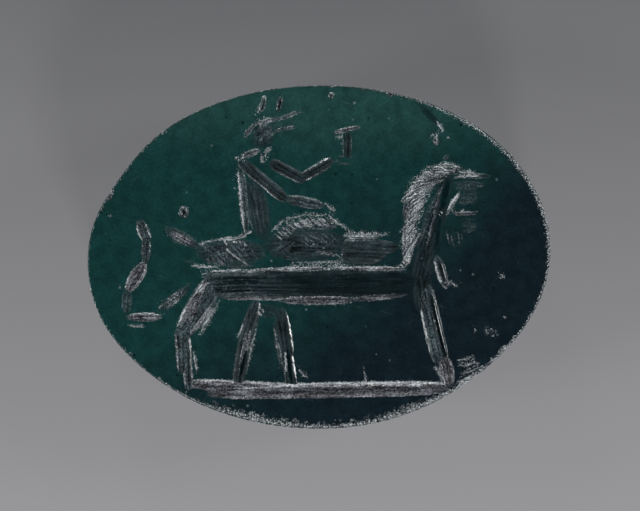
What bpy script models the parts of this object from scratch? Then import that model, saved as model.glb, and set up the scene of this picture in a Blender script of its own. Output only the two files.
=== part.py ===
"""Engraved gem: an oval ring stone of dark green jasper, lying on its back.

The polished face carries a small intaglio, cut with a bow drill and little wheels:
a plumed rider who holds up a cup, seated on a lion that walks to the right over a
ground line. The whole stone is one solid. Units are metres, +Z points out of the
engraved face, and the origin is in the middle of the flat back.

Places on the face are written as the engraver's grid: hundredths of the stone's
length to the right of its centre, and hundredths of its width above its centre.
"""

import math
import random

import bmesh
import bpy
from mathutils import Matrix, Vector

MM = 0.001

# The stone
GEM_LENGTH = 14.0 * MM
GEM_WIDTH = 10.4 * MM
GEM_THICKNESS = 2.6 * MM
FACE_BEVEL = 0.05 * MM        # the worn arris round the engraved face
BACK_BEVEL = 0.32 * MM        # the chamfer that beds the stone in its ring
SIDE_TAPER = 0.30 * MM        # how far the sides lean in from face to back
OUTLINE_SIDES = 96

# The arris is worn more on one side: the angle of that side, and by what share more
ARRIS_WORN_SIDE = 50.0
ARRIS_WORN_MORE = 0.7

# The hand-ground oval is not true: each swelling or flat has the angle of its middle,
# counter-clockwise from the right end, its half-spread, and its height as a share of
# the radius there.
OUTLINE_SWELLINGS = (
    (38.0, 25.0, 0.018),
    (328.0, 28.0, -0.035),
    (158.0, 12.0, -0.022),
    (196.0, 12.0, 0.009),
)

# The engraver's wheels, by the width of the groove each leaves
FINE_WHEEL = 0.15 * MM
THIN_WHEEL = 0.24 * MM
MIDDLE_WHEEL = 0.36 * MM
BROAD_WHEEL = 0.46 * MM
WIDE_WHEEL = 0.62 * MM
SCOOP_WHEEL = 0.88 * MM
NECK_WHEEL = 1.15 * MM

# Depth of a cut as a share of its width
DEEP = 0.46
GROOVE = 0.40
SHALLOW = 0.26
FAINT = 0.16
MANE_DEPTH = 0.15
THIGH_DEPTH = 0.20
SEAT_DEPTH = 0.16

# How far a wheel's middle stays above the face, as a share of its upright half-axis
WHEEL_RAISE = 0.45

# How far the runs of a bent cut reach past their shared corner, as a share of width
RUN_OVERLAP = 0.30

# How square the ends of a cut are: 1 is a plain ellipse, lower is blunter
POINTED = 1.0
ROUND_END = 0.75
BLUNT = 0.55

# Counts of what repeats
MANE_LOCKS = 9
BEARD_LOCKS = 3
THIGH_FOLDS = 6
ROBE_FOLDS = 5
PAW_CLAWS = 3

# Chips along the rim
CHIP_BAND_COUNT = 11
CHIP_BAND_FROM = 236.0
CHIP_BAND_TO = 310.0
CHIP_BAND_SIZE = 0.20 * MM
LONE_CHIPS = (
    (164.3, 0.24 * MM),
    (57.0, 0.20 * MM),
    (66.8, 0.12 * MM),
    (21.7, 0.16 * MM),
    (16.5, 0.12 * MM),
    (344.0, 0.15 * MM),
    (338.0, 0.20 * MM),
    (321.0, 0.18 * MM),
    (148.0, 0.12 * MM),
    (205.0, 0.12 * MM),
)
CHIP_SEED = 7

PART_NAME = "engraved_gem"


def clear_scene():
    for old in list(bpy.data.objects):
        bpy.data.objects.remove(old, do_unlink=True)
    for old in list(bpy.data.collections):
        bpy.data.collections.remove(old)


def new_collection(name):
    collection = bpy.data.collections.new(name)
    bpy.context.scene.collection.children.link(collection)
    return collection


def stone_material(name, colour, roughness):
    material = bpy.data.materials.new(name)
    material.use_nodes = True
    shader = material.node_tree.nodes["Principled BSDF"]
    shader.inputs["Base Color"].default_value = (*colour, 1.0)
    shader.inputs["Roughness"].default_value = roughness
    shader.inputs["Metallic"].default_value = 0.0
    return material


def object_from(name, bm, collection, material):
    bmesh.ops.recalc_face_normals(bm, faces=bm.faces)
    mesh = bpy.data.meshes.new(name)
    bm.to_mesh(mesh)
    bm.free()
    mesh.materials.append(material)
    made = bpy.data.objects.new(name, mesh)
    collection.objects.link(made)
    return made


# The oval

def outline_share(angle):
    """Radius of the hand-ground oval at an angle, as a share of the true oval's."""
    share = 1.0
    for middle, spread, height in OUTLINE_SWELLINGS:
        away = (math.degrees(angle) - middle + 180.0) % 360.0 - 180.0
        share += height * math.exp(-((away / spread) ** 2))
    return share


def oval_outline():
    """Points round the face's outline, fitted to the stone's length and width."""
    raw = []
    for i in range(OUTLINE_SIDES):
        turn = 2.0 * math.pi * i / OUTLINE_SIDES
        x = math.cos(turn) * GEM_LENGTH
        y = math.sin(turn) * GEM_WIDTH
        share = outline_share(math.atan2(y, x))
        raw.append((x * share, y * share))
    low_x, high_x = min(x for x, y in raw), max(x for x, y in raw)
    low_y, high_y = min(y for x, y in raw), max(y for x, y in raw)
    fit_x = GEM_LENGTH / (high_x - low_x)
    fit_y = GEM_WIDTH / (high_y - low_y)
    return [
        Vector(((x - (low_x + high_x) / 2.0) * fit_x, (y - (low_y + high_y) / 2.0) * fit_y, 0.0))
        for x, y in raw
    ]


def inset_point(point, inset):
    """A point of the outline moved straight towards the centre."""
    return point * (1.0 - inset / point.length)


def stone_levels():
    """Heights and insets of the rings, from the back up to the face."""
    face_level = GEM_THICKNESS - FACE_BEVEL
    return (
        (0.0, SIDE_TAPER + BACK_BEVEL),
        (BACK_BEVEL * 0.45, SIDE_TAPER + BACK_BEVEL * 0.38),
        (BACK_BEVEL, SIDE_TAPER),
        ((BACK_BEVEL + face_level) / 2.0, SIDE_TAPER * 0.42),
        (face_level, 0.0),
        (GEM_THICKNESS, FACE_BEVEL),
    )


def make_stone(collection, material):
    """The uncut stone: a cylinder sliced into rings, each ring set to the oval."""
    levels = stone_levels()
    top = len(levels) - 1
    bm = bmesh.new()
    bmesh.ops.create_cone(
        bm, cap_ends=True, cap_tris=False, segments=OUTLINE_SIDES,
        radius1=1.0, radius2=1.0, depth=top,
        matrix=Matrix.Translation((0.0, 0.0, top / 2.0)),
    )
    for level in range(1, top):
        bmesh.ops.bisect_plane(
            bm, geom=bm.verts[:] + bm.edges[:] + bm.faces[:], dist=1e-6,
            plane_co=(0.0, 0.0, level), plane_no=(0.0, 0.0, 1.0),
        )
    outline = oval_outline()
    worn_side = math.radians(ARRIS_WORN_SIDE)
    for vert in bm.verts:
        level = round(vert.co.z)
        height, inset = levels[level]
        turn = math.atan2(vert.co.y, vert.co.x)
        if level == top:
            inset *= 1.0 + ARRIS_WORN_MORE * math.cos(turn - worn_side)
        side = round(turn / math.tau * OUTLINE_SIDES) % OUTLINE_SIDES
        vert.co = inset_point(outline[side], inset)
        vert.co.z = height
    stone = object_from(PART_NAME, bm, collection, material)
    stone.data.shade_smooth()
    stone.data.set_sharp_from_angle(angle=math.radians(25.0))
    return stone


# Tools for cutting

class Bench:
    """Keeps the cutters together and puts each at its place over the face."""

    def __init__(self, collection, material):
        self.collection = collection
        self.material = material

    def place(self, spot):
        """A spot on the engraver's grid, in metres on the face."""
        return Vector((spot[0] / 100.0 * GEM_LENGTH, spot[1] / 100.0 * GEM_WIDTH, GEM_THICKNESS))

    def keep(self, name, bm):
        cutter = object_from("cut_" + name, bm, self.collection, self.material)
        cutter.hide_render = True
        cutter.display_type = "WIRE"
        return cutter

    def groove(self, name, start, end, width, depth=GROOVE, ends=ROUND_END, sunk=0.0, reach=0.0):
        """One pass of a wheel: a boat-shaped hollow from one spot to another.

        Inside a wider hollow a pass is sunk by that hollow's depth. It may reach past
        both spots by a share of its width.
        """
        begin = self.place(start)
        finish = self.place(end)
        past = (finish - begin).normalized() * width * reach
        begin -= past
        finish += past
        run = finish - begin
        power = 2.0 / ends
        upright = width * depth / (1.0 - WHEEL_RAISE)
        across = width / 2.0 / math.sqrt(1.0 - WHEEL_RAISE ** 2)
        along = run.length / 2.0 / (1.0 - WHEEL_RAISE ** power) ** (1.0 / power)
        sides, stations = (10, 6) if width <= THIN_WHEEL else (12, 8)
        bm = bmesh.new()
        bmesh.ops.create_uvsphere(bm, u_segments=sides, v_segments=stations, radius=1.0)
        for vert in bm.verts:
            place = max(-1.0, min(1.0, vert.co.z))
            girth = math.sqrt(max(0.0, 1.0 - place * place))
            swell = girth ** (ends - 1.0) if girth > 1e-4 else 0.0
            vert.co = Vector((
                math.copysign(abs(place) ** ends, place) * along,
                vert.co.x * swell * across,
                vert.co.y * swell * upright,
            ))
        heading = math.atan2(run.y, run.x)
        middle = (begin + finish) / 2.0
        middle.z += upright * WHEEL_RAISE - sunk
        bmesh.ops.transform(
            bm, verts=bm.verts, matrix=Matrix.Translation(middle) @ Matrix.Rotation(heading, 4, "Z")
        )
        return self.keep(name, bm)

    def chain(self, name, spots, widths, depth=GROOVE, ends=ROUND_END):
        """Grooves laid end to end along several spots, one width for each run."""
        for i, width in enumerate(widths):
            self.groove(
                f"{name}_{i + 1}", spots[i], spots[i + 1], width, depth, ends, reach=RUN_OVERLAP
            )

    def pit(self, name, spot, width, depth=DEEP):
        """A round hollow left by the tip of the drill."""
        reach = width / GEM_LENGTH * 50.0
        left = (spot[0] - reach, spot[1])
        right = (spot[0] + reach, spot[1])
        return self.groove(name, left, right, width, depth, POINTED)


def between(first, second, share):
    """The spot at a share of the way from one spot to another."""
    return (
        first[0] + (second[0] - first[0]) * share,
        first[1] + (second[1] - first[1]) * share,
    )


def bend(first, turn, last, share):
    """The spot at a share of the way along a curve that leans towards its turn."""
    return between(between(first, turn, share), between(turn, last, share), share)


# The lion

def cut_ground_line(bench):
    bench.groove("ground_left", (-28.6, -36.8), (3.0, -39.2), MIDDLE_WHEEL, GROOVE, BLUNT)
    bench.groove("ground_right", (-24.2, -39.6), (28.2, -38.2), BROAD_WHEEL, DEEP, BLUNT)


def cut_lion_body(bench):
    bench.groove("body", (-25.5, -7.6), (21.0, -7.4), SCOOP_WHEEL, SHALLOW, BLUNT)
    bench.groove("back_line", (-24.8, -4.8), (18.8, -3.8), FINE_WHEEL * 1.1, DEEP, BLUNT)
    bench.groove("belly", (-21.5, -12.0), (0.0, -12.7), THIN_WHEEL, DEEP, ROUND_END)
    bench.groove("flank", (-4.0, -12.8), (19.8, -11.2), THIN_WHEEL, DEEP, ROUND_END)


def cut_lion_head(bench):
    bench.groove("neck", (27.2, 23.6), (25.0, 2.0), WIDE_WHEEL, DEEP, ROUND_END)
    bench.groove("throat_hollow", (27.6, 14.0), (28.2, 5.0), WIDE_WHEEL, SHALLOW, ROUND_END)
    bench.groove("chest", (24.6, 8.0), (22.4, -12.6), SCOOP_WHEEL, 0.36, ROUND_END)
    bench.groove("brow", (28.0, 24.8), (37.0, 23.4), BROAD_WHEEL * 0.75, SHALLOW, ROUND_END)
    bench.groove("muzzle", (28.0, 20.2), (36.6, 17.0), WIDE_WHEEL, SHALLOW, ROUND_END)
    bench.groove("jaw", (28.4, 11.6), (34.4, 12.8), THIN_WHEEL, GROOVE, ROUND_END)
    bench.groove("mouth", (30.2, 18.0), (26.6, 11.6), THIN_WHEEL, DEEP, ROUND_END)
    bench.pit("throat", (26.3, 12.4), MIDDLE_WHEEL, 0.8)
    for i in range(BEARD_LOCKS):
        share = i / (BEARD_LOCKS - 1)
        top = between((27.0, 9.6), (32.4, 11.4), share)
        tip = between((28.6, 0.4), (32.6, 4.8), share)
        bench.groove(f"beard_{i + 1}", top, tip, THIN_WHEEL, GROOVE, ROUND_END)
    bench.groove("shoulder_tuft", (25.3, 1.2), (27.9, -9.8), MIDDLE_WHEEL, GROOVE, ROUND_END)


def cut_lion_mane(bench):
    """A broad hollow behind the neck, with locks that fan back from the brow."""
    bench.groove("mane", (23.8, 22.4), (20.4, 0.6), NECK_WHEEL, MANE_DEPTH, BLUNT)
    hollow = NECK_WHEEL * MANE_DEPTH
    for i in range(MANE_LOCKS):
        share = i / (MANE_LOCKS - 1)
        root = bend((31.4, 26.4), (24.6, 25.6), (24.6, 11.0), share)
        tip = bend((20.6, 24.4), (14.2, 14.0), (18.4, -4.6), share)
        bench.groove(
            f"mane_lock_{i + 1}", root, tip, MIDDLE_WHEEL, SHALLOW, ROUND_END, hollow * 0.45
        )
    bench.pit("mane_ball", (18.6, -0.9), MIDDLE_WHEEL, 0.8)


def cut_lion_legs(bench):
    bench.chain(
        "foreleg", [(21.6, -4.0), (23.6, -12.0), (26.6, -29.4), (28.5, -38.2)],
        [BROAD_WHEEL, WIDE_WHEEL, MIDDLE_WHEEL * 1.3], GROOVE,
    )
    bench.groove("foreleg_middle", (23.0, -9.0), (27.4, -31.0), BROAD_WHEEL, DEEP, ROUND_END)
    for i in range(PAW_CLAWS):
        share = i / (PAW_CLAWS - 1)
        root = between((28.8, -30.4), (29.4, -35.6), share)
        tip = between((34.0, -28.6), (34.6, -32.6), share)
        bench.groove(f"claw_{i + 1}", root, tip, THIN_WHEEL * 0.8, GROOVE, POINTED)
    bench.groove("thigh", (-22.4, -5.2), (-28.8, -22.4), SCOOP_WHEEL, SHALLOW, ROUND_END)
    bench.groove("thigh_inner", (-22.6, -10.0), (-27.8, -23.4), MIDDLE_WHEEL, GROOVE, ROUND_END)
    bench.groove("shin", (-29.5, -18.6), (-27.9, -39.0), BROAD_WHEEL * 1.05, GROOVE, BLUNT)
    bench.pit("hock", (-26.7, -30.6), MIDDLE_WHEEL * 0.7, GROOVE)
    bench.chain(
        "far_hind", [(-13.8, -14.0), (-16.2, -23.6), (-17.8, -37.0)],
        [BROAD_WHEEL * 0.85, BROAD_WHEEL * 0.9], GROOVE, BLUNT,
    )
    bench.chain(
        "far_fore", [(-8.2, -14.4), (-7.5, -25.6), (-5.9, -37.4)],
        [BROAD_WHEEL * 0.9, BROAD_WHEEL], GROOVE, BLUNT,
    )
    bench.groove("far_fore_toe", (-4.6, -32.6), (-2.4, -35.8), THIN_WHEEL * 0.8, GROOVE, POINTED)


def cut_lion_tail(bench):
    bench.chain(
        "tail_root", [(-27.8, -9.0), (-34.4, -17.6), (-41.4, -17.8)],
        [MIDDLE_WHEEL, THIN_WHEEL * 1.25], SHALLOW,
    )
    bench.chain(
        "tail", [(-42.1, -15.6), (-42.2, -10.0), (-37.4, -1.6), (-36.8, 4.4), (-39.0, 10.6)],
        [MIDDLE_WHEEL * 0.9, BROAD_WHEEL * 0.9, THIN_WHEEL * 1.1, MIDDLE_WHEEL * 1.1], GROOVE,
    )


# The rider

def cut_rider_head(bench):
    bench.groove("head", (-12.6, 38.2), (-12.0, 31.4), WIDE_WHEEL, GROOVE, POINTED)
    bench.groove("hair_upper", (-12.6, 38.4), (-3.4, 42.2), MIDDLE_WHEEL, GROOVE, ROUND_END)
    bench.groove("hair_lower", (-10.6, 36.8), (-4.0, 37.8), THIN_WHEEL, GROOVE, ROUND_END)
    bench.groove("plume_left", (-11.8, 47.0), (-12.6, 42.0), THIN_WHEEL * 0.9, DEEP, ROUND_END)
    bench.groove("plume_right", (-8.2, 46.8), (-9.2, 42.0), THIN_WHEEL * 0.9, DEEP, ROUND_END)
    bench.groove("chin", (-12.0, 30.8), (-9.8, 32.0), THIN_WHEEL, GROOVE, ROUND_END)
    bench.groove("neck_front", (-11.8, 30.6), (-11.6, 26.2), THIN_WHEEL, GROOVE, ROUND_END)


def cut_rider_body(bench):
    shoulder_back, shoulder_front = (-17.2, 28.4), (-11.8, 31.2)
    bench.groove("shoulders", shoulder_back, shoulder_front, MIDDLE_WHEEL, GROOVE, ROUND_END)
    bench.groove("torso", (-15.2, 24.0), (-11.6, 4.0), SCOOP_WHEEL * 0.9, SHALLOW, ROUND_END)
    bench.groove("back", (-17.2, 28.0), (-14.8, 5.4), MIDDLE_WHEEL * 0.85, GROOVE, ROUND_END)


def cut_rider_arms(bench):
    bench.chain(
        "lowered_arm", [(-17.4, 28.2), (-6.8, 17.0), (3.0, 14.4), (4.4, 11.6)],
        [MIDDLE_WHEEL * 1.1, MIDDLE_WHEEL, THIN_WHEEL], GROOVE,
    )
    bench.chain(
        "raised_arm", [(-10.8, 27.6), (-2.6, 23.0), (3.0, 28.4)],
        [MIDDLE_WHEEL, MIDDLE_WHEEL], DEEP,
    )


def cut_cup(bench):
    bench.groove("cup_rim", (2.8, 36.0), (9.4, 38.0), THIN_WHEEL, GROOVE, BLUNT)
    bench.groove("cup_bowl", (4.4, 34.6), (8.0, 35.0), MIDDLE_WHEEL * 0.9, GROOVE, ROUND_END)
    bench.groove("cup_stem", (6.2, 35.6), (6.4, 28.0), MIDDLE_WHEEL * 0.9, GROOVE, ROUND_END)
    bench.groove("cup_foot", (3.2, 27.2), (9.0, 26.8), FINE_WHEEL * 1.1, GROOVE, ROUND_END)


def cut_rider_robe(bench):
    """The robe over the seat: a flat hollow, hatched with short folds."""
    bench.groove("robe_point", (-34.2, 9.6), (-24.6, 1.8), BROAD_WHEEL * 0.9, GROOVE, POINTED)
    bench.groove("seat", (-28.2, 0.6), (-6.0, 1.6), SCOOP_WHEEL, SEAT_DEPTH, ROUND_END)
    bench.groove("seat_edge", (-26.8, -2.8), (-12.0, -2.6), THIN_WHEEL, GROOVE, ROUND_END)
    hollow = SCOOP_WHEEL * SEAT_DEPTH
    for i in range(ROBE_FOLDS):
        share = i / (ROBE_FOLDS - 1)
        top = between((-24.6, 3.6), (-13.4, 5.0), share)
        foot = between((-19.8, -3.2), (-9.2, -2.0), share)
        bench.groove(f"robe_fold_{i + 1}", top, foot, THIN_WHEEL, GROOVE, POINTED, hollow * 0.7)


def cut_rider_leg(bench):
    """The thigh is a broad scoop with a fan of folds over it; the shin runs forward."""
    bench.groove("thigh_scoop", (-12.2, 4.4), (6.4, 4.4), NECK_WHEEL * 1.1, THIGH_DEPTH, ROUND_END)
    hollow = NECK_WHEEL * THIGH_DEPTH
    for i in range(THIGH_FOLDS):
        share = i / (THIGH_FOLDS - 1)
        top = bend((-10.4, 6.6), (-5.8, 13.6), (3.4, 10.8), share)
        foot = bend((-6.0, 0.0), (-2.0, 4.4), (7.0, 5.2), share)
        bench.groove(f"thigh_fold_{i + 1}", top, foot, THIN_WHEEL, GROOVE, POINTED, hollow * 0.6)
    bench.pit("knee", (-0.2, 4.6), MIDDLE_WHEEL, 1.0)
    bench.groove("calf", (-6.4, -0.6), (7.4, -0.8), BROAD_WHEEL * 0.85, SHALLOW, ROUND_END)
    bench.groove("rider_shin", (3.6, 1.4), (17.4, 1.8), SCOOP_WHEEL * 0.92, SHALLOW, ROUND_END)
    bench.groove("rein_hand", (11.0, 12.4), (13.2, 7.2), MIDDLE_WHEEL, FAINT, ROUND_END)


# Wear

def cut_pits(bench):
    bench.pit("field_pit", (-29.2, 13.1), MIDDLE_WHEEL * 0.8, GROOVE)
    bench.pit("upper_chip", (25.4, 33.8), MIDDLE_WHEEL * 0.8, SHALLOW)
    bench.pit("lower_chip", (37.0, -21.6), MIDDLE_WHEEL, SHALLOW)
    bench.pit("right_pit", (39.5, -5.8), FINE_WHEEL, GROOVE)
    bench.groove("rim_scar", (21.6, 44.2), (26.6, 38.0), THIN_WHEEL * 1.2, FAINT, POINTED)


def chip_spot(outline, degrees):
    """The outline's point that lies at an angle from the centre."""
    target = math.radians(degrees)
    return min(
        outline,
        key=lambda point: abs(math.remainder(math.atan2(point.y, point.x) - target, math.tau)),
    )


def cut_rim_chips(bench):
    """Small flakes knocked from the arris: a close band below, and some on their own."""
    rng = random.Random(CHIP_SEED)
    outline = oval_outline()
    chips = list(LONE_CHIPS)
    for i in range(CHIP_BAND_COUNT):
        share = i / (CHIP_BAND_COUNT - 1)
        degrees = CHIP_BAND_FROM + (CHIP_BAND_TO - CHIP_BAND_FROM) * share
        chips.append((degrees + rng.uniform(-2.0, 2.0), CHIP_BAND_SIZE * rng.uniform(0.7, 1.3)))
    for i, (degrees, size) in enumerate(chips):
        bm = bmesh.new()
        bmesh.ops.create_icosphere(bm, subdivisions=1, radius=1.0)
        for vert in bm.verts:
            vert.co *= rng.uniform(0.85, 1.15)
        spot = inset_point(chip_spot(outline, degrees), -size * 0.25)
        shape = Matrix.Diagonal((size * 1.3, size, size * 0.7, 1.0))
        turn = Matrix.Rotation(math.radians(degrees + 90.0), 4, "Z")
        lift = Matrix.Translation((spot.x, spot.y, GEM_THICKNESS + size * 0.12))
        bmesh.ops.transform(bm, verts=bm.verts, matrix=lift @ turn @ shape)
        bench.keep(f"rim_chip_{i + 1}", bm)


def engrave(stone, collection):
    carve = stone.modifiers.new("Engraving", "BOOLEAN")
    carve.operation = "DIFFERENCE"
    carve.operand_type = "COLLECTION"
    carve.collection = collection
    carve.solver = "EXACT"
    carve.material_mode = "TRANSFER"


def main():
    clear_scene()
    parts = new_collection(PART_NAME)
    cutters = new_collection("engraving_cutters")
    polished = stone_material("polished_green_stone", (0.008, 0.040, 0.038), 0.22)
    ground = stone_material("ground_green_stone", (0.085, 0.120, 0.125), 0.62)
    stone = make_stone(parts, polished)
    bench = Bench(cutters, ground)
    for cut in (
        cut_ground_line, cut_lion_body, cut_lion_head, cut_lion_mane, cut_lion_legs,
        cut_lion_tail, cut_rider_head, cut_rider_body, cut_rider_arms, cut_cup,
        cut_rider_robe, cut_rider_leg, cut_pits, cut_rim_chips,
    ):
        cut(bench)
    engrave(stone, cutters)


main()
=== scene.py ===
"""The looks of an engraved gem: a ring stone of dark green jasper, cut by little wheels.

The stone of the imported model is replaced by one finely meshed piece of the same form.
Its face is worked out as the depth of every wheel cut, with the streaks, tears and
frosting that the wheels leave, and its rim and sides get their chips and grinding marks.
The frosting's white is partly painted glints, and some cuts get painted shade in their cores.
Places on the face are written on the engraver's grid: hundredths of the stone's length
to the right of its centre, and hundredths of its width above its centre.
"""

import math

import bpy
import numpy as np
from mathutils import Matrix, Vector


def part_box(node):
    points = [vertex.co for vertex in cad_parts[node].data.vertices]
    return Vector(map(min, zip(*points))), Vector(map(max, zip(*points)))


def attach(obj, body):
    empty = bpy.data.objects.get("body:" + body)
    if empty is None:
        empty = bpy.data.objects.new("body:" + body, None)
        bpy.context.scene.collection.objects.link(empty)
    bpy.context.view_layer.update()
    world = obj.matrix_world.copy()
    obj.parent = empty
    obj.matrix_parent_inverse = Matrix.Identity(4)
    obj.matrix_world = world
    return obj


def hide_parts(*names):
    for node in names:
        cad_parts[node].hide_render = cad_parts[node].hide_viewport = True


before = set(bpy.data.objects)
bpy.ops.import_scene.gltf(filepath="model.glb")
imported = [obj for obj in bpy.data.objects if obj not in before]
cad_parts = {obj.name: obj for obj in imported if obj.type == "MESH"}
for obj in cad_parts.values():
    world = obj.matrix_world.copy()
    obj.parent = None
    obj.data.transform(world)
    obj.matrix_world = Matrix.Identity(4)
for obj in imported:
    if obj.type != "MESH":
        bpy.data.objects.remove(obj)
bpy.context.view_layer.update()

MM = 0.001
NODE = "engraved_gem"

# The stone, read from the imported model
stone_low, stone_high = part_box(NODE)
GEM_LENGTH = stone_high[0] - stone_low[0]
GEM_WIDTH = stone_high[1] - stone_low[1]
GEM_THICKNESS = stone_high[2] - stone_low[2]

# Its edges, as in the source of the solid
FACE_BEVEL = 0.05 * MM
BACK_BEVEL = 0.32 * MM
SIDE_TAPER = 0.30 * MM
SIDE_BULGE = 0.16
ARRIS_WORN_SIDE = 50.0
ARRIS_WORN_MORE = 0.7
OUTLINE_SWELLINGS = (
    (38.0, 25.0, 0.018),
    (328.0, 28.0, -0.035),
    (158.0, 12.0, -0.022),
    (196.0, 12.0, 0.009),
)

# How finely the face is laid out, and how much coarser the sides and back are
FACE_STEPS_LONG = 768
FACE_STEPS_WIDE = 576
COARSER = 8
BEVEL_SHARES = (0.25, 0.5, 0.75, 1.0)
FINE_RINGS = 13
FINE_RING_STEP = 0.022 * MM
SIDE_RINGS = 16
CHAMFER_RINGS = 6
MOST_TRIANGLES = 186000

# Points beside a cut that stay when the mesh is thinned out: the far ones, in each third row and column
KEPT_NEARNESS = 0.28
KEPT_EVERY = 3

# How a chip in the rim also bites into the side
BITE_SHARE = 0.25
BITE_REACH = 0.16 * MM

# How far down the face's marks and its material go, and which way its material faces
MARKS_REACH = 0.7 * MM
FACE_REACH = 0.8 * MM
FACE_UPWARD = 0.35
FACE_INSIDE = 0.10 * MM

# Turns of the surface, in degrees, that are shaded as arrises: anywhere, and beside the flat face
SHARP_TURN = 38.0
FLAT_TURN = 5.0
LEVEL = 0.99999

# The engraver's wheels, by the width of the groove each leaves
NEEDLE = 0.075 * MM
FINE_WHEEL = 0.15 * MM
THIN_WHEEL = 0.24 * MM
MIDDLE_WHEEL = 0.36 * MM
BROAD_WHEEL = 0.46 * MM
WIDE_WHEEL = 0.62 * MM
SCOOP_WHEEL = 0.88 * MM
NECK_WHEEL = 1.15 * MM

# Depth of a cut as a share of its width
DEEP = 0.30
GROOVE = 0.24
SHALLOW = 0.16
FAINT = 0.10
LIGHT = 0.08
HOLLOW = 0.07
SCRAPE = 0.06
SKIM = 0.05

# How square the ends of a cut are: 1 is a plain ellipse, lower is blunter
POINTED = 1.0
ROUND_END = 0.75
BLUNT = 0.45

# How frosted a cut is left: crushed stone is nearly white, and polished stone stays green
CRUSHED = 1.0
ROUGH = 0.72
HAZY = 0.6
WORN = 0.5
MATT = 0.42
DULL = 0.38
SOFT = 0.36
SMOOTH = 0.34
SATIN = 0.25
POLISHED = 0.05
# The lowest level is no frosting but painted shade: a cut left at it has its deep middle painted near
# black.
SHADED_CORE = 0.0

# How much of a cut's left and right edge is painted white: torn frosting, and painted glints on the
# walls that face the lamps
TORN_AND_GLINT = (0.4, 0.4)
SCRATCHED_AND_GLINT = (0.9, 0.9)

# A wheel's rim is flatter than a circle, so a groove has a floor and two walls; a scoop is round
RIM_FLATNESS = 2.5
ROUND = 2.0
END_FADE = 0.75
RUN_OVERLAP = 0.30

# Seeds of the settled noise
TEAR_SEEDS = (501, 502)
TOOTH_SEEDS = (601, 602)
CRUMBLE_SEEDS = (701, 702)


# Numbers that vary smoothly from place to place

def lattice(column, row, seed):
    """A settled random number from 0 to 1 for each corner of a square lattice."""
    mixed = column.astype(np.int64) * 374761393 + row.astype(np.int64) * 668265263
    mixed = (mixed + seed * 1442695041) & 0xFFFFFFFF
    mixed = ((mixed ^ (mixed >> 13)) * 1274126177) & 0xFFFFFFFF
    mixed = ((mixed ^ (mixed >> 16)) * 2246822519) & 0xFFFFFFFF
    return ((mixed ^ (mixed >> 15)) & 0xFFFFFF) / float(0xFFFFFF)


def chance(number, seed):
    """A settled random number from -1 to 1."""
    return float(lattice(np.array([number]), np.array([seed]), 77)[0]) * 2.0 - 1.0


def ripple(x, y, seed):
    """Smooth noise from -1 to 1, with features about one unit across."""
    column, row = np.floor(x), np.floor(y)
    across, up = x - column, y - row
    across = across * across * (3.0 - 2.0 * across)
    up = up * up * (3.0 - 2.0 * up)
    low = lattice(column, row, seed) * (1.0 - across) + lattice(column + 1, row, seed) * across
    high = lattice(column, row + 1, seed) * (1.0 - across) + lattice(column + 1, row + 1, seed) * across
    return (low * (1.0 - up) + high * up) * 2.0 - 1.0


def smooth_step(low, high, value):
    share = np.clip((value - low) / (high - low), 0.0, 1.0)
    return share * share * (3.0 - 2.0 * share)


def between(first, second, share):
    """The spot at a share of the way from one spot to another."""
    return (
        first[0] + (second[0] - first[0]) * share,
        first[1] + (second[1] - first[1]) * share,
    )


def along(path, share):
    """The spot at a share of the way along a line of spots."""
    place = share * (len(path) - 1)
    step = min(int(place), len(path) - 2)
    return between(path[step], path[step + 1], place - step)


# The stone's outline

def outline_share(angle):
    """Radius of the hand-ground oval at each angle, as a share of the true oval's."""
    share = np.ones_like(angle)
    for middle, spread, height in OUTLINE_SWELLINGS:
        away = (np.degrees(angle) - middle + 180.0) % 360.0 - 180.0
        share += height * np.exp(-((away / spread) ** 2))
    return share


def oval(turn):
    """Points of the unfitted outline at each turn round the oval."""
    x, y = np.cos(turn) * GEM_LENGTH, np.sin(turn) * GEM_WIDTH
    share = outline_share(np.arctan2(y, x))
    return x * share, y * share


class Outline:
    """The oval fitted to the stone's length and width."""

    def __init__(self):
        x, y = oval(np.linspace(0.0, math.tau, 96, endpoint=False))
        self.fit = GEM_LENGTH / (x.max() - x.min()), GEM_WIDTH / (y.max() - y.min())
        self.shift = (x.max() + x.min()) / 2.0, (y.max() + y.min()) / 2.0
        x, y = self.at(np.linspace(-0.1, math.tau + 0.1, 2000))
        self.headings = np.unwrap(np.arctan2(y, x))
        self.radii = np.hypot(x, y)

    def at(self, turn):
        x, y = oval(turn)
        return (x - self.shift[0]) * self.fit[0], (y - self.shift[1]) * self.fit[1]

    def inside(self, x, y):
        """How far inside the outline each place lies, measured towards the centre."""
        heading = np.arctan2(y, x) % math.tau
        return np.interp(heading, self.headings, self.radii) - np.hypot(x, y)


outline = Outline()


def face_inset(x, y):
    """How far the face stops short of the outline, more on the worn side."""
    heading = np.arctan2(y, x) - math.radians(ARRIS_WORN_SIDE)
    return FACE_BEVEL * (1.0 + ARRIS_WORN_MORE * np.cos(heading))


# The engraving

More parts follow.
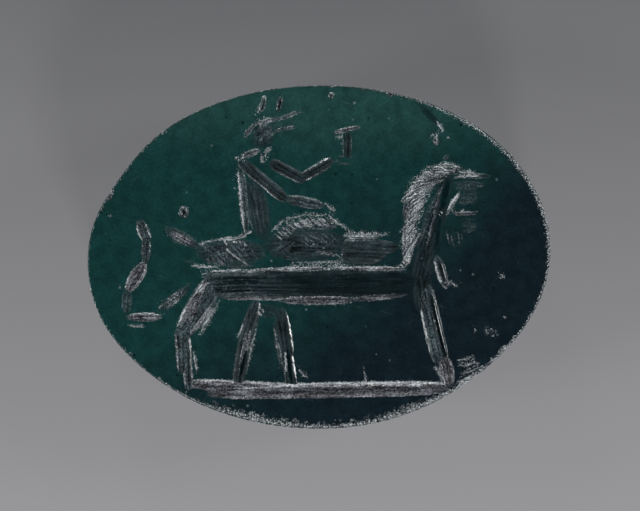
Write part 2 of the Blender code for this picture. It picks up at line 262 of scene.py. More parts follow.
class Engraving:
    """All the cuts in the face, and the depth that they leave at any place."""

    streak_pitch = 0.045 * MM
    streak_length = 0.9 * MM
    streak_height = 0.008 * MM
    tooth_pitch = 0.040 * MM
    tooth_height = 0.007 * MM
    tear_pitch = 0.075 * MM
    tear_reach = 0.020 * MM
    spill = 0.12 * MM
    marks_full = 0.03 * MM
    lip_band = (0.5, 0.98)
    crushed_lip = 0.6

    def __init__(self):
        self.cuts = []

    def place(self, spot):
        return spot[0] / 100.0 * GEM_LENGTH, spot[1] / 100.0 * GEM_WIDTH

    def groove(self, start, end, width, depth=GROOVE, ends=ROUND_END, floor=ROUGH, lean=0.0,
               over=False, reach=0.0, flatness=RIM_FLATNESS, torn=TORN_AND_GLINT):
        """One pass of a wheel from one spot to another.

        The wheel may lean, which makes the groove deeper along its left (positive) or
        right (negative) side, seen in the direction of the pass. A pass that goes over
        a wider hollow is cut down from the hollow's own floor.
        """
        x0, y0 = self.place(start)
        x1, y1 = self.place(end)
        run = math.hypot(x1 - x0, y1 - y0)
        self.cuts.append({
            "middle": ((x0 + x1) / 2.0, (y0 + y1) / 2.0),
            "heading": ((x1 - x0) / run, (y1 - y0) / run),
            "half_run": run / 2.0 + width * reach,
            "half_width": width / 2.0,
            "depth": width * depth,
            "power": 2.0 / ends,
            "flatness": flatness,
            "floor": floor,
            "lean": lean,
            "over": over,
            "torn": torn,
        })

    def scoop(self, start, end, width, depth, floor, ends=POINTED, **finish):
        """A pass that leaves a round hollow."""
        self.groove(start, end, width, depth, ends, floor, flatness=ROUND, **finish)

    def scratch(self, start, end, size=1.0, depth=SHALLOW, floor=CRUSHED, **finish):
        """A stroke of the needle, so many times its usual width."""
        self.groove(start, end, NEEDLE * size, depth, POINTED, floor, **finish)

    def chain(self, spots, widths, **finish):
        """Passes end to end, overlapping a little."""
        for i, width in enumerate(widths):
            self.groove(spots[i], spots[i + 1], width, reach=RUN_OVERLAP, **finish)

    def pit(self, spot, width, depth=GROOVE, floor=ROUGH, tall=1.0, over=False):
        """A round hollow, or an oval one that is taller than wide."""
        reach = width / GEM_WIDTH * 50.0 * tall
        low, high = (spot[0], spot[1] - reach), (spot[0], spot[1] + reach)
        self.scoop(low, high, width, depth, floor, over=over)

    def hatch(self, starts, stops, count, width, depth=SHALLOW, floor=CRUSHED, stray=0.3, seed=0,
              torn=TORN_AND_GLINT):
        """Short light strokes from one line of spots to another, none quite like the next."""
        for i in range(count):
            share = (i + 0.5 + stray * chance(i, seed)) / count
            skew = 0.4 * stray * chance(i, seed + 1) / count
            start = along(starts, min(max(share, 0.0), 1.0))
            stop = along(stops, min(max(share + skew, 0.0), 1.0))
            start, stop = (
                between(start, stop, 0.12 * (1.0 + chance(i, seed + 2))),
                between(start, stop, 1.0 - 0.14 * (1.0 + chance(i, seed + 3))),
            )
            size = width * (1.0 + 0.4 * chance(i, seed + 4))
            self.scoop(start, stop, size, depth, floor, over=True, torn=torn)

    def speckle(self, spot, spread, count, width, seed):
        """Grains torn out round a place."""
        for i in range(count):
            away = (
                spot[0] + spread[0] * chance(i, seed) * abs(chance(i, seed + 2)) ** 0.5,
                spot[1] + spread[1] * chance(i, seed + 1) * abs(chance(i, seed + 3)) ** 0.5,
            )
            self.pit(away, width * (1.0 + 0.5 * chance(i, seed + 4)), SHALLOW, CRUSHED, over=True)

    def one_cut(self, cut, number, x, y):
        """Depth of one cut at each point, the point's place in it, its distance, and the white of its
        lip, partly torn frosting and partly painted glint.

        The place is how far along and across the cut it lies, and its share of the way
        from the middle to the wall.
        """
        dx, dy = x - cut["middle"][0], y - cut["middle"][1]
        ux, uy = cut["heading"]
        run = dx * ux + dy * uy
        side = dy * ux - dx * uy
        taper = np.abs(run / cut["half_run"])
        girth = np.clip(1.0 - taper ** cut["power"], 0.0, 1.0) ** (1.0 / cut["power"])
        sideways = side / (cut["half_width"] * np.maximum(girth, 0.02))
        section = 1.0 - np.abs(sideways) ** cut["flatness"]
        section = section * (1.0 + cut["lean"] * np.clip(sideways, -1.0, 1.0))
        fade = 1.0 - END_FADE * np.clip(taper, 0.0, 1.0) ** 4
        depth = cut["depth"] * np.where(girth > 0.0, girth, 1.0) * section * fade
        depth = np.where(girth > 0.0, depth, -1.0)
        streak = ripple(side / self.streak_pitch, run / self.streak_length, number * 7 + 1)
        fine = ripple(side / self.streak_pitch * 2.3, run / self.streak_length * 1.7, number * 7 + 2)
        marks = (streak + 0.5 * fine) * self.streak_height * cut["floor"]
        depth = depth + marks * smooth_step(0.0, self.marks_full, depth)
        past = np.maximum(np.abs(run) - cut["half_run"] * 0.96, 0.0)
        beside = np.maximum(np.abs(side) - cut["half_width"] * girth, 0.0)
        lip = cut["torn"][0] * smooth_step(*self.lip_band, sideways)
        lip = lip + cut["torn"][1] * smooth_step(*self.lip_band, -sideways)
        if cut["floor"] >= CRUSHED:
            lip = np.maximum(lip, self.crushed_lip)
        wall = np.clip(np.abs(sideways), 0.0, 1.0)
        return depth, (run, side, wall), np.hypot(past, beside), lip

    def carve(self, x, y):
        """Depth, frosting, nearness of a rough cut, lip white (torn frosting and painted glint), and
        streak place at each point.
        """
        tears = []
        for seed in TEAR_SEEDS:
            wave = ripple(x / self.tear_pitch, y / self.tear_pitch, seed)
            fine = ripple(x / self.tear_pitch * 2.6, y / self.tear_pitch * 2.6, seed + 10)
            tears.append((wave + 0.6 * fine) * self.tear_reach)
        depth, over, frost, near_cut, torn_lip = np.zeros((5, len(x)))
        streak = np.zeros((len(x), 3))
        for number, cut in enumerate(self.cuts):
            ux, uy = abs(cut["heading"][0]), abs(cut["heading"][1])
            reach, wide = cut["half_run"] + self.spill, cut["half_width"] + self.spill
            near = np.abs(x - cut["middle"][0]) < reach * ux + wide * uy
            near &= np.abs(y - cut["middle"][1]) < reach * uy + wide * ux
            spots = np.nonzero(near)[0]
            if len(spots) == 0:
                continue
            torn_x = x[spots] + tears[0][spots] * cut["floor"]
            torn_y = y[spots] + tears[1][spots] * cut["floor"]
            cut_depth, place, away, lip = self.one_cut(cut, number, torn_x, torn_y)
            nearness = (1.0 - np.clip(away / self.spill, 0.0, 1.0)) * cut["floor"]
            outside = (depth[spots] <= 0.0) & (over[spots] <= 0.0)
            spread = outside & (nearness > near_cut[spots])
            frost[spots[spread]] = cut["floor"]
            torn_lip[spots[spread]] = lip[spread]
            near_cut[spots] = np.maximum(near_cut[spots], nearness)
            layer = over if cut["over"] else depth
            won = cut_depth > layer[spots]
            spots = spots[won]
            layer[spots] = cut_depth[won]
            frost[spots] = cut["floor"]
            torn_lip[spots] = lip[won]
            for axis in range(3):
                streak[spots, axis] = place[axis][won]
        depth = depth + over
        tooth = ripple(x / self.tooth_pitch, y / self.tooth_pitch, TOOTH_SEEDS[0])
        fine = ripple(x / self.tooth_pitch * 2.1, y / self.tooth_pitch * 2.1, TOOTH_SEEDS[1])
        tooth = (tooth + 0.6 * fine) * self.tooth_height * frost
        depth = depth + tooth * smooth_step(0.0, self.marks_full, depth)
        return np.clip(depth, 0.0, None), frost, near_cut, torn_lip, streak


def cut_ground_line(work):
    # Painted glints: the upper walls' lips are painted far whiter than the lower ones, as they face the
    # near lamp.
    work.groove((-28.3, -36.9), (2.4, -39.1), MIDDLE_WHEEL, ends=BLUNT, torn=(1.0, 0.2))
    work.groove((-24.2, -39.5), (27.8, -38.2), BROAD_WHEEL, DEEP, BLUNT, lean=0.2, torn=(1.4, 0.1))
    work.scratch((-24.6, -39.8), (-17.0, -40.9), 0.9, GROOVE, ROUGH, torn=(0.5, 0.9))
    work.scratch((-18.0, -41.1), (19.0, -40.4), 0.8, GROOVE, ROUGH, torn=(0.5, 0.9))


def cut_lion_body(work):
    work.scoop((-24.8, -7.9), (21.0, -7.5), SCOOP_WHEEL, SHALLOW * 0.9, SATIN, BLUNT)
    for end, deeper, floor in (
        (9.0, 0.905, 0.28), (4.0, 0.91, 0.31), (-1.0, 0.915, SMOOTH), (-5.0, 0.92, DULL),
        (-9.0, 0.93, MATT),
    ):
        work.scoop((-24.8, -7.9), (end, -7.8), SCOOP_WHEEL, SHALLOW * deeper, floor, BLUNT)
    work.hatch([(-24.0, -5.6), (-23.4, -10.6)], [(-9.0, -5.0), (-12.0, -10.2)], 12, NEEDLE * 0.8,
               HOLLOW, SATIN, stray=0.8, seed=45, torn=SCRATCHED_AND_GLINT)
    work.hatch([(-8.0, -5.0), (-6.4, -10.6)], [(18.0, -4.8), (16.4, -10.4)], 9, NEEDLE * 0.5,
               HOLLOW, SATIN, stray=0.8, seed=47, torn=(0.6, 0.6))
    work.chain(
        [(-25.1, -5.6), (-21.4, -4.3), (-14.9, -4.0), (2.4, -3.5), (18.8, -3.5)],
        [NEEDLE * 1.4, NEEDLE * 1.8, FINE_WHEEL, FINE_WHEEL], floor=ROUGH, torn=(1.3, 0.9),
    )
    work.hatch([(-24.0, -4.2), (18.0, -3.0)], [(-20.0, -3.8), (19.4, -2.9)], 18, NEEDLE * 0.6,
               stray=0.9, seed=49)
    work.groove((-21.6, -11.7), (-6.3, -12.0), FINE_WHEEL * 1.1, torn=(1.2, 0.8))
    work.groove((-8.4, -12.4), (7.4, -12.5), THIN_WHEEL * 1.2, torn=(1.3, 0.9))
    work.groove((5.6, -12.5), (19.4, -10.8), THIN_WHEEL * 0.9, SHALLOW, POINTED, torn=(1.1, 0.6))


def cut_lion_head(work):
    work.chain(
        [(27.6, 24.6), (26.5, 16.6), (24.7, 8.5), (23.2, 1.6), (22.2, -6.0), (22.8, -15.0)],
        [WIDE_WHEEL * 0.85, WIDE_WHEEL, WIDE_WHEEL * 1.1, WIDE_WHEEL * 1.15, WIDE_WHEEL * 1.1],
        depth=LIGHT, ends=ROUND_END, floor=0.33, flatness=ROUND, torn=(0.0, 0.0),
    )
    # Painted shade down the middle of the neck.
    work.scoop((28.2, 22.6), (26.6, 14.0), THIN_WHEEL, LIGHT, SHADED_CORE, over=True)
    work.scoop((26.2, 12.0), (25.4, -2.0), THIN_WHEEL * 0.8, LIGHT, SHADED_CORE, over=True)
    work.hatch([(26.0, 19.6), (24.8, 10.0), (22.4, -2.0)],
               [(24.2, 12.0), (22.4, 3.0), (21.2, -8.0)], 12, NEEDLE * 0.7, HOLLOW, SATIN, seed=13,
               torn=SCRATCHED_AND_GLINT)
    work.groove((29.2, 23.8), (37.4, 23.4), THIN_WHEEL * 0.85, SHALLOW, POINTED, WORN,
                torn=(1.0, 0.4))
    work.scratch((28.8, 25.0), (33.8, 24.7), 1.5, GROOVE)
    work.hatch([(28.4, 22.8), (32.6, 23.4)], [(31.0, 24.4), (35.6, 23.8)], 6, NEEDLE * 0.6, GROOVE,
               stray=0.9, seed=14)
    work.hatch([(28.0, 22.4), (28.8, 15.2)], [(37.2, 21.4), (36.0, 16.2)], 7, THIN_WHEEL * 0.9,
               LIGHT, WORN, stray=0.8, seed=15)
    work.groove((28.6, 12.4), (34.4, 12.8), FINE_WHEEL, SHALLOW, POINTED, torn=(0.9, 0.2))
    work.hatch([(29.4, 11.4), (30.8, 6.4)], [(35.0, 10.8), (34.4, 7.6)], 5, THIN_WHEEL * 0.7, LIGHT,
               WORN, stray=0.8, seed=17)
    work.groove((30.4, 19.0), (26.9, 11.4), FINE_WHEEL * 0.9, ends=POINTED, floor=CRUSHED)
    work.pit((26.3, 12.6), FINE_WHEEL, 0.6, POLISHED, tall=1.4)
    work.hatch([(27.2, 8.8), (30.6, 8.4)], [(28.6, 1.2), (31.6, 2.8)], 5, NEEDLE * 0.8, floor=ROUGH,
               seed=11, torn=(0.5, 0.5))
    work.groove((25.2, 0.8), (27.4, -9.0), MIDDLE_WHEEL * 0.9, DEEP, POINTED, 0.4, lean=0.3,
                torn=(0.1, 1.2))
    work.scratch((24.9, -1.2), (26.4, -7.4), 1.2, over=True)
    work.scratch((28.2, -6.8), (29.9, -8.6), depth=GROOVE)
    work.speckle((27.8, -7.6), (1.2, 1.6), 8, NEEDLE * 0.8, 19)
    work.groove((27.0, 28.2), (28.0, 29.9), FINE_WHEEL, SHALLOW, POINTED, WORN)


def cut_lion_mane(work):
    work.chain(
        [(30.6, 25.6), (26.4, 24.6), (21.4, 20.2), (19.4, 11.2), (19.1, -0.8)],
        [THIN_WHEEL * 1.3, WIDE_WHEEL * 0.85, WIDE_WHEEL * 0.9, BROAD_WHEEL * 0.9],
        depth=FAINT, floor=HAZY, flatness=ROUND,
    )
    work.scoop((25.8, 19.4), (22.4, 0.8), WIDE_WHEEL * 0.9, SKIM, SOFT)
    work.hatch([(26.6, 20.6), (24.2, 8.0)], [(24.4, 12.0), (22.6, -1.0)], 11, NEEDLE * 0.5,
               floor=ROUGH, stray=0.9, seed=39, torn=SCRATCHED_AND_GLINT)
    inner = [(31.2, 25.8), (28.0, 23.2), (25.4, 20.4), (23.2, 14.4), (21.6, 7.8), (20.2, 0.8)]
    outer = [(26.2, 27.8), (20.6, 22.4), (17.3, 11.4), (16.8, 4.0), (17.6, -1.6), (18.6, -3.4)]
    work.hatch(inner, outer, 40, NEEDLE * 0.55, stray=0.9, seed=21)
    work.hatch([(31.4, 26.4), (27.6, 25.6), (24.0, 24.0), (21.0, 19.6)],
               [(27.0, 28.0), (23.0, 26.6), (19.6, 22.8), (17.4, 15.8)], 22, NEEDLE * 0.6, GROOVE,
               stray=0.6, seed=31)
    work.hatch([(27.0, 21.0), (24.6, 14.6), (22.8, 6.4)], [(23.2, 14.8), (21.2, 6.6), (20.0, -1.4)],
               13, NEEDLE * 0.6, HOLLOW, WORN, stray=0.7, seed=35, torn=SCRATCHED_AND_GLINT)
    work.scratch((24.4, 20.5), (17.6, 15.6), 1.2, GROOVE, over=True)
    work.scratch((22.0, 7.4), (19.8, 1.2), 1.1, GROOVE, over=True)
    work.scratch((18.4, 7.6), (18.3, 3.0), 0.8, GROOVE, over=True)
    work.pit((18.7, -1.4), FINE_WHEEL * 1.3)


def cut_lion_legs(work):
    work.groove((22.4, -6.6), (26.3, -31.0), WIDE_WHEEL * 0.95, SHALLOW * 0.9, BLUNT, WORN,
                torn=(0.1, 0.55))
    work.groove((23.8, -10.0), (27.3, -29.8), THIN_WHEEL * 1.1, 0.4, BLUNT, SATIN, lean=0.4,
                torn=(1.1, 0.0))
    work.groove((26.9, -28.4), (28.4, -38.0), BROAD_WHEEL, SHALLOW, POINTED, torn=(0.3, 0.5))
    work.groove((24.8, -31.4), (28.2, -37.0), FINE_WHEEL, SHALLOW, POINTED, CRUSHED)
    for root, tip in (
        ((29.8, -30.2), (33.9, -28.8)), ((30.2, -31.8), (34.5, -30.6)),
        ((30.4, -34.2), (35.0, -31.9)), ((29.6, -36.8), (33.9, -33.8)),
    ):
        work.scratch(root, tip, 0.75, GROOVE)
    work.scoop((-21.8, -4.6), (-29.6, -23.6), SCOOP_WHEEL * 0.92, SHALLOW, WORN, torn=(0.2, 0.5))
    work.chain([(-23.8, -7.2), (-27.6, -12.2), (-30.2, -18.4)], [NEEDLE * 0.8] * 2,
               floor=CRUSHED, over=True)
    work.chain([(-25.0, -7.4), (-28.0, -13.4), (-30.9, -21.4)], [NEEDLE] * 2, floor=CRUSHED, over=True)
    work.hatch([(-25.6, -8.6), (-24.0, -6.8)], [(-30.6, -20.6), (-28.2, -21.6)], 6, NEEDLE * 0.7,
               FAINT, ROUGH, seed=43, torn=SCRATCHED_AND_GLINT)
    work.hatch([(-20.9, -11.2), (-22.8, -12.6)], [(-25.6, -24.0), (-28.4, -22.4)], 6, NEEDLE * 0.75,
               seed=41)
    work.scratch((-21.7, -13.8), (-25.6, -22.0), depth=GROOVE)
    work.groove((-29.9, -20.0), (-29.3, -34.0), BROAD_WHEEL * 0.9, SHALLOW, BLUNT, WORN,
                torn=(0.1, 0.4))
    work.groove((-28.7, -22.4), (-28.1, -38.8), MIDDLE_WHEEL * 0.85, ends=BLUNT, floor=WORN,
                torn=(0.3, 0.2))
    work.scratch((-27.0, -27.0), (-26.3, -34.0), depth=GROOVE)
    work.groove((-13.4, -12.4), (-16.9, -29.0), BROAD_WHEEL * 0.95, floor=DULL, lean=0.25)
    work.groove((-15.4, -19.0), (-17.8, -39.0), BROAD_WHEEL * 0.9, floor=DULL, lean=0.25)
    # Painted shade down the middle of this leg's groove.
    work.scoop((-15.6, -27.0), (-16.9, -34.4), FINE_WHEEL, FAINT, SHADED_CORE, over=True)
    work.scratch((-15.4, -17.2), (-17.6, -23.6), 1.2, GROOVE)
    work.scratch((-16.8, -24.0), (-18.4, -33.8), 1.2)
    work.scratch((-13.4, -19.4), (-15.9, -33.8), 1.1)
    work.hatch([(-15.4, -20.0), (-14.4, -19.0)], [(-17.8, -35.0), (-16.4, -35.6)], 5, NEEDLE * 0.5,
               HOLLOW, ROUGH, stray=0.8, seed=57, torn=SCRATCHED_AND_GLINT)
    work.scoop((-9.6, -17.6), (-7.6, -34.2), MIDDLE_WHEEL * 0.9, SKIM, 0.46)
    work.hatch([(-10.2, -18.0), (-8.3, -18.4)], [(-8.5, -33.4), (-7.0, -34.6)], 7, NEEDLE * 0.5,
               HOLLOW, ROUGH, stray=0.9, seed=53, torn=SCRATCHED_AND_GLINT)
    work.scoop((-13.6, -14.6), (-8.0, -16.8), BROAD_WHEEL, SKIM, DULL)
    work.groove((-8.4, -14.6), (-6.5, -31.0), BROAD_WHEEL, SHALLOW, floor=SMOOTH, lean=0.2,
                torn=(0.9, 0.0))
    work.groove((-7.2, -26.0), (-5.8, -38.4), BROAD_WHEEL * 0.85, SHALLOW, BLUNT, SMOOTH, lean=0.2,
                torn=(0.3, 0.1))
    # Painted shade down the middle of this leg's groove.
    work.scoop((-6.9, -27.0), (-5.9, -36.6), FINE_WHEEL, FAINT, SHADED_CORE, over=True)
    work.scratch((-7.3, -27.6), (-7.1, -33.4), 0.9, over=True)
    work.scratch((-13.4, -17.3), (-10.2, -17.4), floor=WORN)
    work.speckle((-12.3, -15.8), (0.9, 1.0), 6, NEEDLE, 51)
    work.scratch((-4.6, -32.3), (-2.3, -35.4), depth=GROOVE)
    work.scratch((-5.2, -30.8), (-3.6, -32.5), 0.8, floor=WORN)


def cut_lion_tail(work):
    work.groove((-38.8, 11.0), (-36.8, 4.0), MIDDLE_WHEEL * 1.1, SHALLOW, POINTED, WORN, lean=-0.35,
                torn=(0.3, 1.2))
    work.groove((-37.2, 6.6), (-37.5, -2.4), MIDDLE_WHEEL * 0.9, SHALLOW, POINTED, WORN,
                torn=(0.3, 0.3))
    work.groove((-37.4, -1.2), (-41.6, -10.2), BROAD_WHEEL * 0.9, ends=POINTED, lean=0.3,
                torn=(0.9, 0.6))
    work.groove((-41.4, -8.6), (-41.6, -17.0), MIDDLE_WHEEL, LIGHT, POINTED, WORN, torn=(0.1, 0.4))
    work.groove((-41.9, -17.6), (-33.6, -17.4), THIN_WHEEL * 1.2, SHALLOW, POINTED, torn=(0.9, 0.3))
    work.scratch((-41.4, -19.9), (-37.6, -20.2), depth=GROOVE)
    work.scoop((-35.4, -16.4), (-27.0, -7.6), MIDDLE_WHEEL, SCRAPE, SMOOTH)
    work.hatch([(-35.2, -14.4), (-33.6, -17.0)], [(-27.4, -6.8), (-27.6, -9.4)], 8, NEEDLE * 0.6,
               HOLLOW, ROUGH, stray=0.8, seed=55, torn=SCRATCHED_AND_GLINT)


def cut_rider_head(work):
    work.groove((-11.7, 47.0), (-12.5, 42.2), FINE_WHEEL * 1.25, DEEP, floor=WORN, torn=(0.7, 0.5))
    work.groove((-8.2, 46.8), (-8.9, 42.2), FINE_WHEEL * 1.25, DEEP, floor=WORN, torn=(0.8, 0.2))
    work.speckle((-13.2, 42.6), (1.6, 2.4), 10, NEEDLE * 0.6, 61)
    work.scoop((-12.6, 38.8), (-11.8, 31.8), WIDE_WHEEL * 1.1, SKIM, SMOOTH, BLUNT)
    work.hatch([(-14.4, 38.0), (-10.4, 37.4)], [(-13.6, 32.6), (-10.8, 33.4)], 5, NEEDLE * 0.6,
               HOLLOW, WORN, seed=67, torn=SCRATCHED_AND_GLINT)
    work.chain([(-16.2, 35.0), (-13.6, 38.8), (-9.2, 40.2)], [FINE_WHEEL] * 2,
               depth=SHALLOW, floor=ROUGH, torn=SCRATCHED_AND_GLINT)
    work.groove((-9.8, 39.4), (-3.6, 42.6), FINE_WHEEL * 0.9, SHALLOW, POINTED, torn=SCRATCHED_AND_GLINT)
    work.groove((-10.0, 36.6), (-4.4, 38.0), FINE_WHEEL, SHALLOW, POINTED, WORN, torn=(0.7, 0.3))
    work.hatch([(-16.4, 33.4), (-12.6, 37.6)], [(-10.6, 36.0), (-5.4, 40.6)], 8, FINE_WHEEL * 0.9,
               SCRAPE, MATT, stray=0.9, seed=62)
    work.hatch([(-13.6, 36.0), (-6.0, 37.4)], [(-12.6, 39.6), (-3.8, 41.0)], 14, NEEDLE * 0.75,
               HOLLOW, ROUGH, seed=63)
    work.hatch([(-11.4, 33.6), (-9.0, 36.4)], [(-9.6, 37.0), (-6.8, 39.4)], 5, NEEDLE * 0.8,
               floor=ROUGH, seed=69)
    work.groove((-11.9, 30.3), (-10.3, 32.0), FINE_WHEEL * 0.8, ends=POINTED, floor=CRUSHED)
    work.hatch([(-12.8, 30.0), (-11.2, 30.2)], [(-12.6, 26.6), (-11.2, 27.6)], 3, NEEDLE * 0.7,
               seed=65)


def cut_rider_body(work):
    work.groove((-17.3, 28.6), (-12.6, 31.3), FINE_WHEEL * 1.4, SHALLOW, torn=(0.9, 0.4))
    work.speckle((-16.8, 28.4), (1.4, 1.6), 14, NEEDLE, 71)
    work.scoop((-14.8, 24.0), (-11.6, 4.0), SCOOP_WHEEL * 0.85, SCRAPE, 0.37)
    work.groove((-17.0, 27.8), (-15.6, 5.6), MIDDLE_WHEEL * 0.85, SHALLOW, POINTED, WORN,
                torn=(0.1, 0.6))
    work.hatch([(-17.9, 27.0), (-16.6, 9.6)], [(-17.0, 21.0), (-15.4, 4.0)], 20, NEEDLE * 0.5,
               stray=0.9, seed=73)


def cut_rider_arms(work):
    work.groove((-17.2, 28.0), (-7.0, 16.6), MIDDLE_WHEEL * 1.05, ends=BLUNT, floor=0.37, lean=-0.2,
                torn=(0.6, 1.2))
    work.groove((-8.0, 17.2), (1.4, 14.8), MIDDLE_WHEEL, SHALLOW, POINTED, WORN, torn=(0.9, 0.4))
    work.hatch([(1.0, 16.4), (2.2, 14.6)], [(3.2, 12.6), (4.2, 13.6)], 4, NEEDLE, GROOVE, seed=75)
    work.groove((-10.6, 27.6), (-3.0, 22.3), MIDDLE_WHEEL, ends=BLUNT, floor=SOFT, torn=(0.8, 1.0))
    work.groove((-4.2, 22.5), (3.2, 28.5), MIDDLE_WHEEL * 0.95, floor=DULL, torn=(0.9, 0.8))
    work.scratch((2.8, 27.4), (4.6, 28.3), floor=WORN)


def cut_cup(work):
    work.groove((3.1, 36.0), (9.1, 38.0), FINE_WHEEL, torn=(0.8, 0.3))
    work.scratch((3.4, 34.8), (6.6, 35.0), 1.2, FAINT)
    work.groove((6.1, 36.6), (6.1, 28.8), MIDDLE_WHEEL * 0.8, SHALLOW, BLUNT, 0.35, torn=(0.7, 0.7))
    work.scratch((3.6, 29.3), (8.4, 29.2), floor=ROUGH)
    work.scratch((3.4, 27.2), (7.4, 27.0), floor=ROUGH)


def cut_rider_robe(work):
    work.groove((-33.6, 8.8), (-25.4, 2.4), BROAD_WHEEL * 0.85, FAINT, POINTED, WORN,
                torn=(0.4, 0.3))
    work.hatch([(-33.4, 9.0), (-33.2, 6.0)], [(-25.8, 3.8), (-28.8, 2.2)], 7, NEEDLE * 0.8,
               floor=ROUGH, seed=81)
    work.scoop((-27.0, 1.2), (-11.0, 1.4), SCOOP_WHEEL, SCRAPE, MATT)
    work.groove((-24.6, 3.4), (-20.4, -1.6), THIN_WHEEL, HOLLOW, POINTED, WORN, over=True)
    work.groove((-18.8, 3.6), (-15.6, -1.0), THIN_WHEEL, HOLLOW, POINTED, WORN, over=True)
    work.hatch([(-25.0, 3.2), (-12.8, 4.2)], [(-22.0, -1.8), (-11.0, -1.8)], 9, NEEDLE * 0.55,
               HOLLOW, WORN, stray=0.8, seed=89, torn=SCRATCHED_AND_GLINT)
    work.chain(
        [(-26.4, 3.6), (-22.0, 5.0), (-17.4, 5.5), (-14.8, 7.4)],
        [NEEDLE, NEEDLE * 1.6, NEEDLE * 1.6], depth=GROOVE, floor=CRUSHED,
    )
    work.speckle((-18.2, 4.2), (2.6, 1.2), 14, NEEDLE * 0.7, 83)
    work.scratch((-27.8, -2.6), (-21.6, -2.9), 1.3)
    work.groove((-21.0, -2.6), (-13.4, -2.6), FINE_WHEEL, FAINT, POINTED, torn=(0.6, 0.3))
    work.chain([(-20.0, 2.5), (-17.7, -0.3), (-15.2, -2.4)], [NEEDLE * 0.8] * 2,
               floor=CRUSHED, over=True)
    work.hatch([(-24.8, -0.2), (-21.6, 0.4)], [(-24.2, -2.6), (-19.8, -3.2)], 6, NEEDLE * 0.8,
               floor=ROUGH, seed=85)
    work.hatch([(-31.0, -0.2), (-30.4, -1.0)], [(-26.0, -1.4), (-25.6, -2.0)], 3, NEEDLE, FAINT,
               WORN, seed=87)


def cut_rider_leg(work):
    work.scoop((-12.4, 3.6), (6.8, 3.6), NECK_WHEEL * 0.95, SKIM, DULL)
    work.groove((-10.6, -0.6), (-5.4, 4.6), THIN_WHEEL, HOLLOW, POINTED, MATT, over=True)
    work.hatch([(-10.8, 1.6), (-8.2, -1.6)], [(-7.4, 5.0), (-4.6, 1.0)], 7, NEEDLE * 0.5, HOLLOW,
               WORN, stray=0.8, seed=97, torn=SCRATCHED_AND_GLINT)
    edge = [(-10.4, 7.4), (-7.2, 11.2), (-2.8, 12.4), (1.8, 12.2), (5.9, 8.6)]
    ends = [(-8.0, 4.8), (-4.0, 8.0), (0.6, 8.8), (4.6, 8.6), (7.4, 7.2)]
    work.chain([(-8.4, 6.4), (-5.0, 8.8), (-1.0, 9.8), (3.4, 9.2)], [MIDDLE_WHEEL] * 3,
               depth=FAINT, floor=HAZY, flatness=ROUND)
    work.hatch(edge, ends, 34, NEEDLE * 0.5, stray=0.9, seed=91)
    work.hatch(edge, ends, 16, NEEDLE * 0.6, HOLLOW, WORN, stray=0.9, seed=92, torn=SCRATCHED_AND_GLINT)
    work.chain(edge, [NEEDLE * 0.9] * 4, depth=SHALLOW, floor=CRUSHED)
    work.chain([(-0.6, 1.6), (3.8, 0.4), (8.1, -2.1)], [NEEDLE * 0.9] * 2,
               depth=SHALLOW, floor=ROUGH, over=True, torn=SCRATCHED_AND_GLINT)
    work.hatch([(-4.6, 5.0), (0.6, 8.2)], [(0.8, 1.8), (5.4, 3.6)], 11, NEEDLE * 0.5, HOLLOW, WORN,
               stray=0.9, seed=95, torn=SCRATCHED_AND_GLINT)
    work.scratch((-6.0, -1.5), (7.6, -1.5), depth=FAINT)
    work.scoop((4.6, 2.0), (14.6, 1.9), SCOOP_WHEEL, SHALLOW, SOFT, ROUND_END, torn=(0.7, 0.2))
    work.scoop((9.0, 2.4), (17.4, 2.9), BROAD_WHEEL, SHALLOW, SOFT, torn=(0.7, 0.2))
    work.hatch([(5.4, 7.8), (12.4, 7.6)], [(6.4, 5.8), (13.6, 6.0)], 12, NEEDLE * 0.8, GROOVE,
               stray=0.9, seed=99)
    work.scratch((4.6, 6.0), (13.6, 6.4), 1.6, GROOVE)
    work.scratch((12.0, 6.2), (15.2, 6.8), 0.8, GROOVE)
    work.scoop((11.0, 12.4), (13.4, 7.4), MIDDLE_WHEEL * 0.8, 0.04, POLISHED)
    work.scratch((7.3, 12.0), (7.6, 8.6), 0.8, FAINT, WORN)
    work.scratch((9.7, 10.8), (10.2, 7.8), 0.8, FAINT, WORN)


def cut_wear(work):
    """Chips, pits and stray scratches in the polished face."""
    work.pit((-29.2, 13.1), MIDDLE_WHEEL * 0.9, DEEP, WORN, tall=1.2)
    work.pit((25.3, 33.8), THIN_WHEEL * 0.8, SHALLOW, tall=1.6)
    work.speckle((25.3, 34.2), (0.9, 1.6), 9, NEEDLE * 0.8, 103)
    work.speckle((36.9, -21.6), (1.6, 1.6), 16, NEEDLE * 0.8, 101)
    work.pit((37.4, -21.8), THIN_WHEEL * 0.8, FAINT, WORN)
    work.speckle((39.5, -5.8), (0.7, 1.0), 6, NEEDLE * 0.7, 105)
    work.pit((2.7, 47.0), FINE_WHEEL * 1.4, floor=WORN)
    work.groove((21.0, 45.4), (26.6, 37.6), THIN_WHEEL, FAINT, POINTED, SATIN)
    work.scratch((25.0, 40.4), (27.0, 36.6), 1.4)
    for spot in (
        (40.2, -17.5), (33.7, -21.3), (27.9, 34.7), (-45.0, 12.0), (31.1, 13.7), (-43.0, -9.0),
    ):
        work.pit(spot, NEEDLE, SHALLOW, CRUSHED)
    for start, stop in (
        ((-5.6, -46.4), (-0.4, -48.4)), ((3.5, -47.0), (6.7, -48.2)), ((-14.0, -41.9), (-14.1, -45.6)),
        ((-42.5, 20.1), (-41.3, 21.3)), ((33.0, -12.0), (33.4, -16.2)), ((29.0, -22.0), (29.2, -26.4)),
        ((-36.0, -28.0), (-34.8, -31.0)), ((8.0, 30.0), (9.6, 27.0)), ((-24.0, 30.0), (-22.6, 33.0)),
    ):
        work.scratch(start, stop, 0.7, FAINT, WORN)


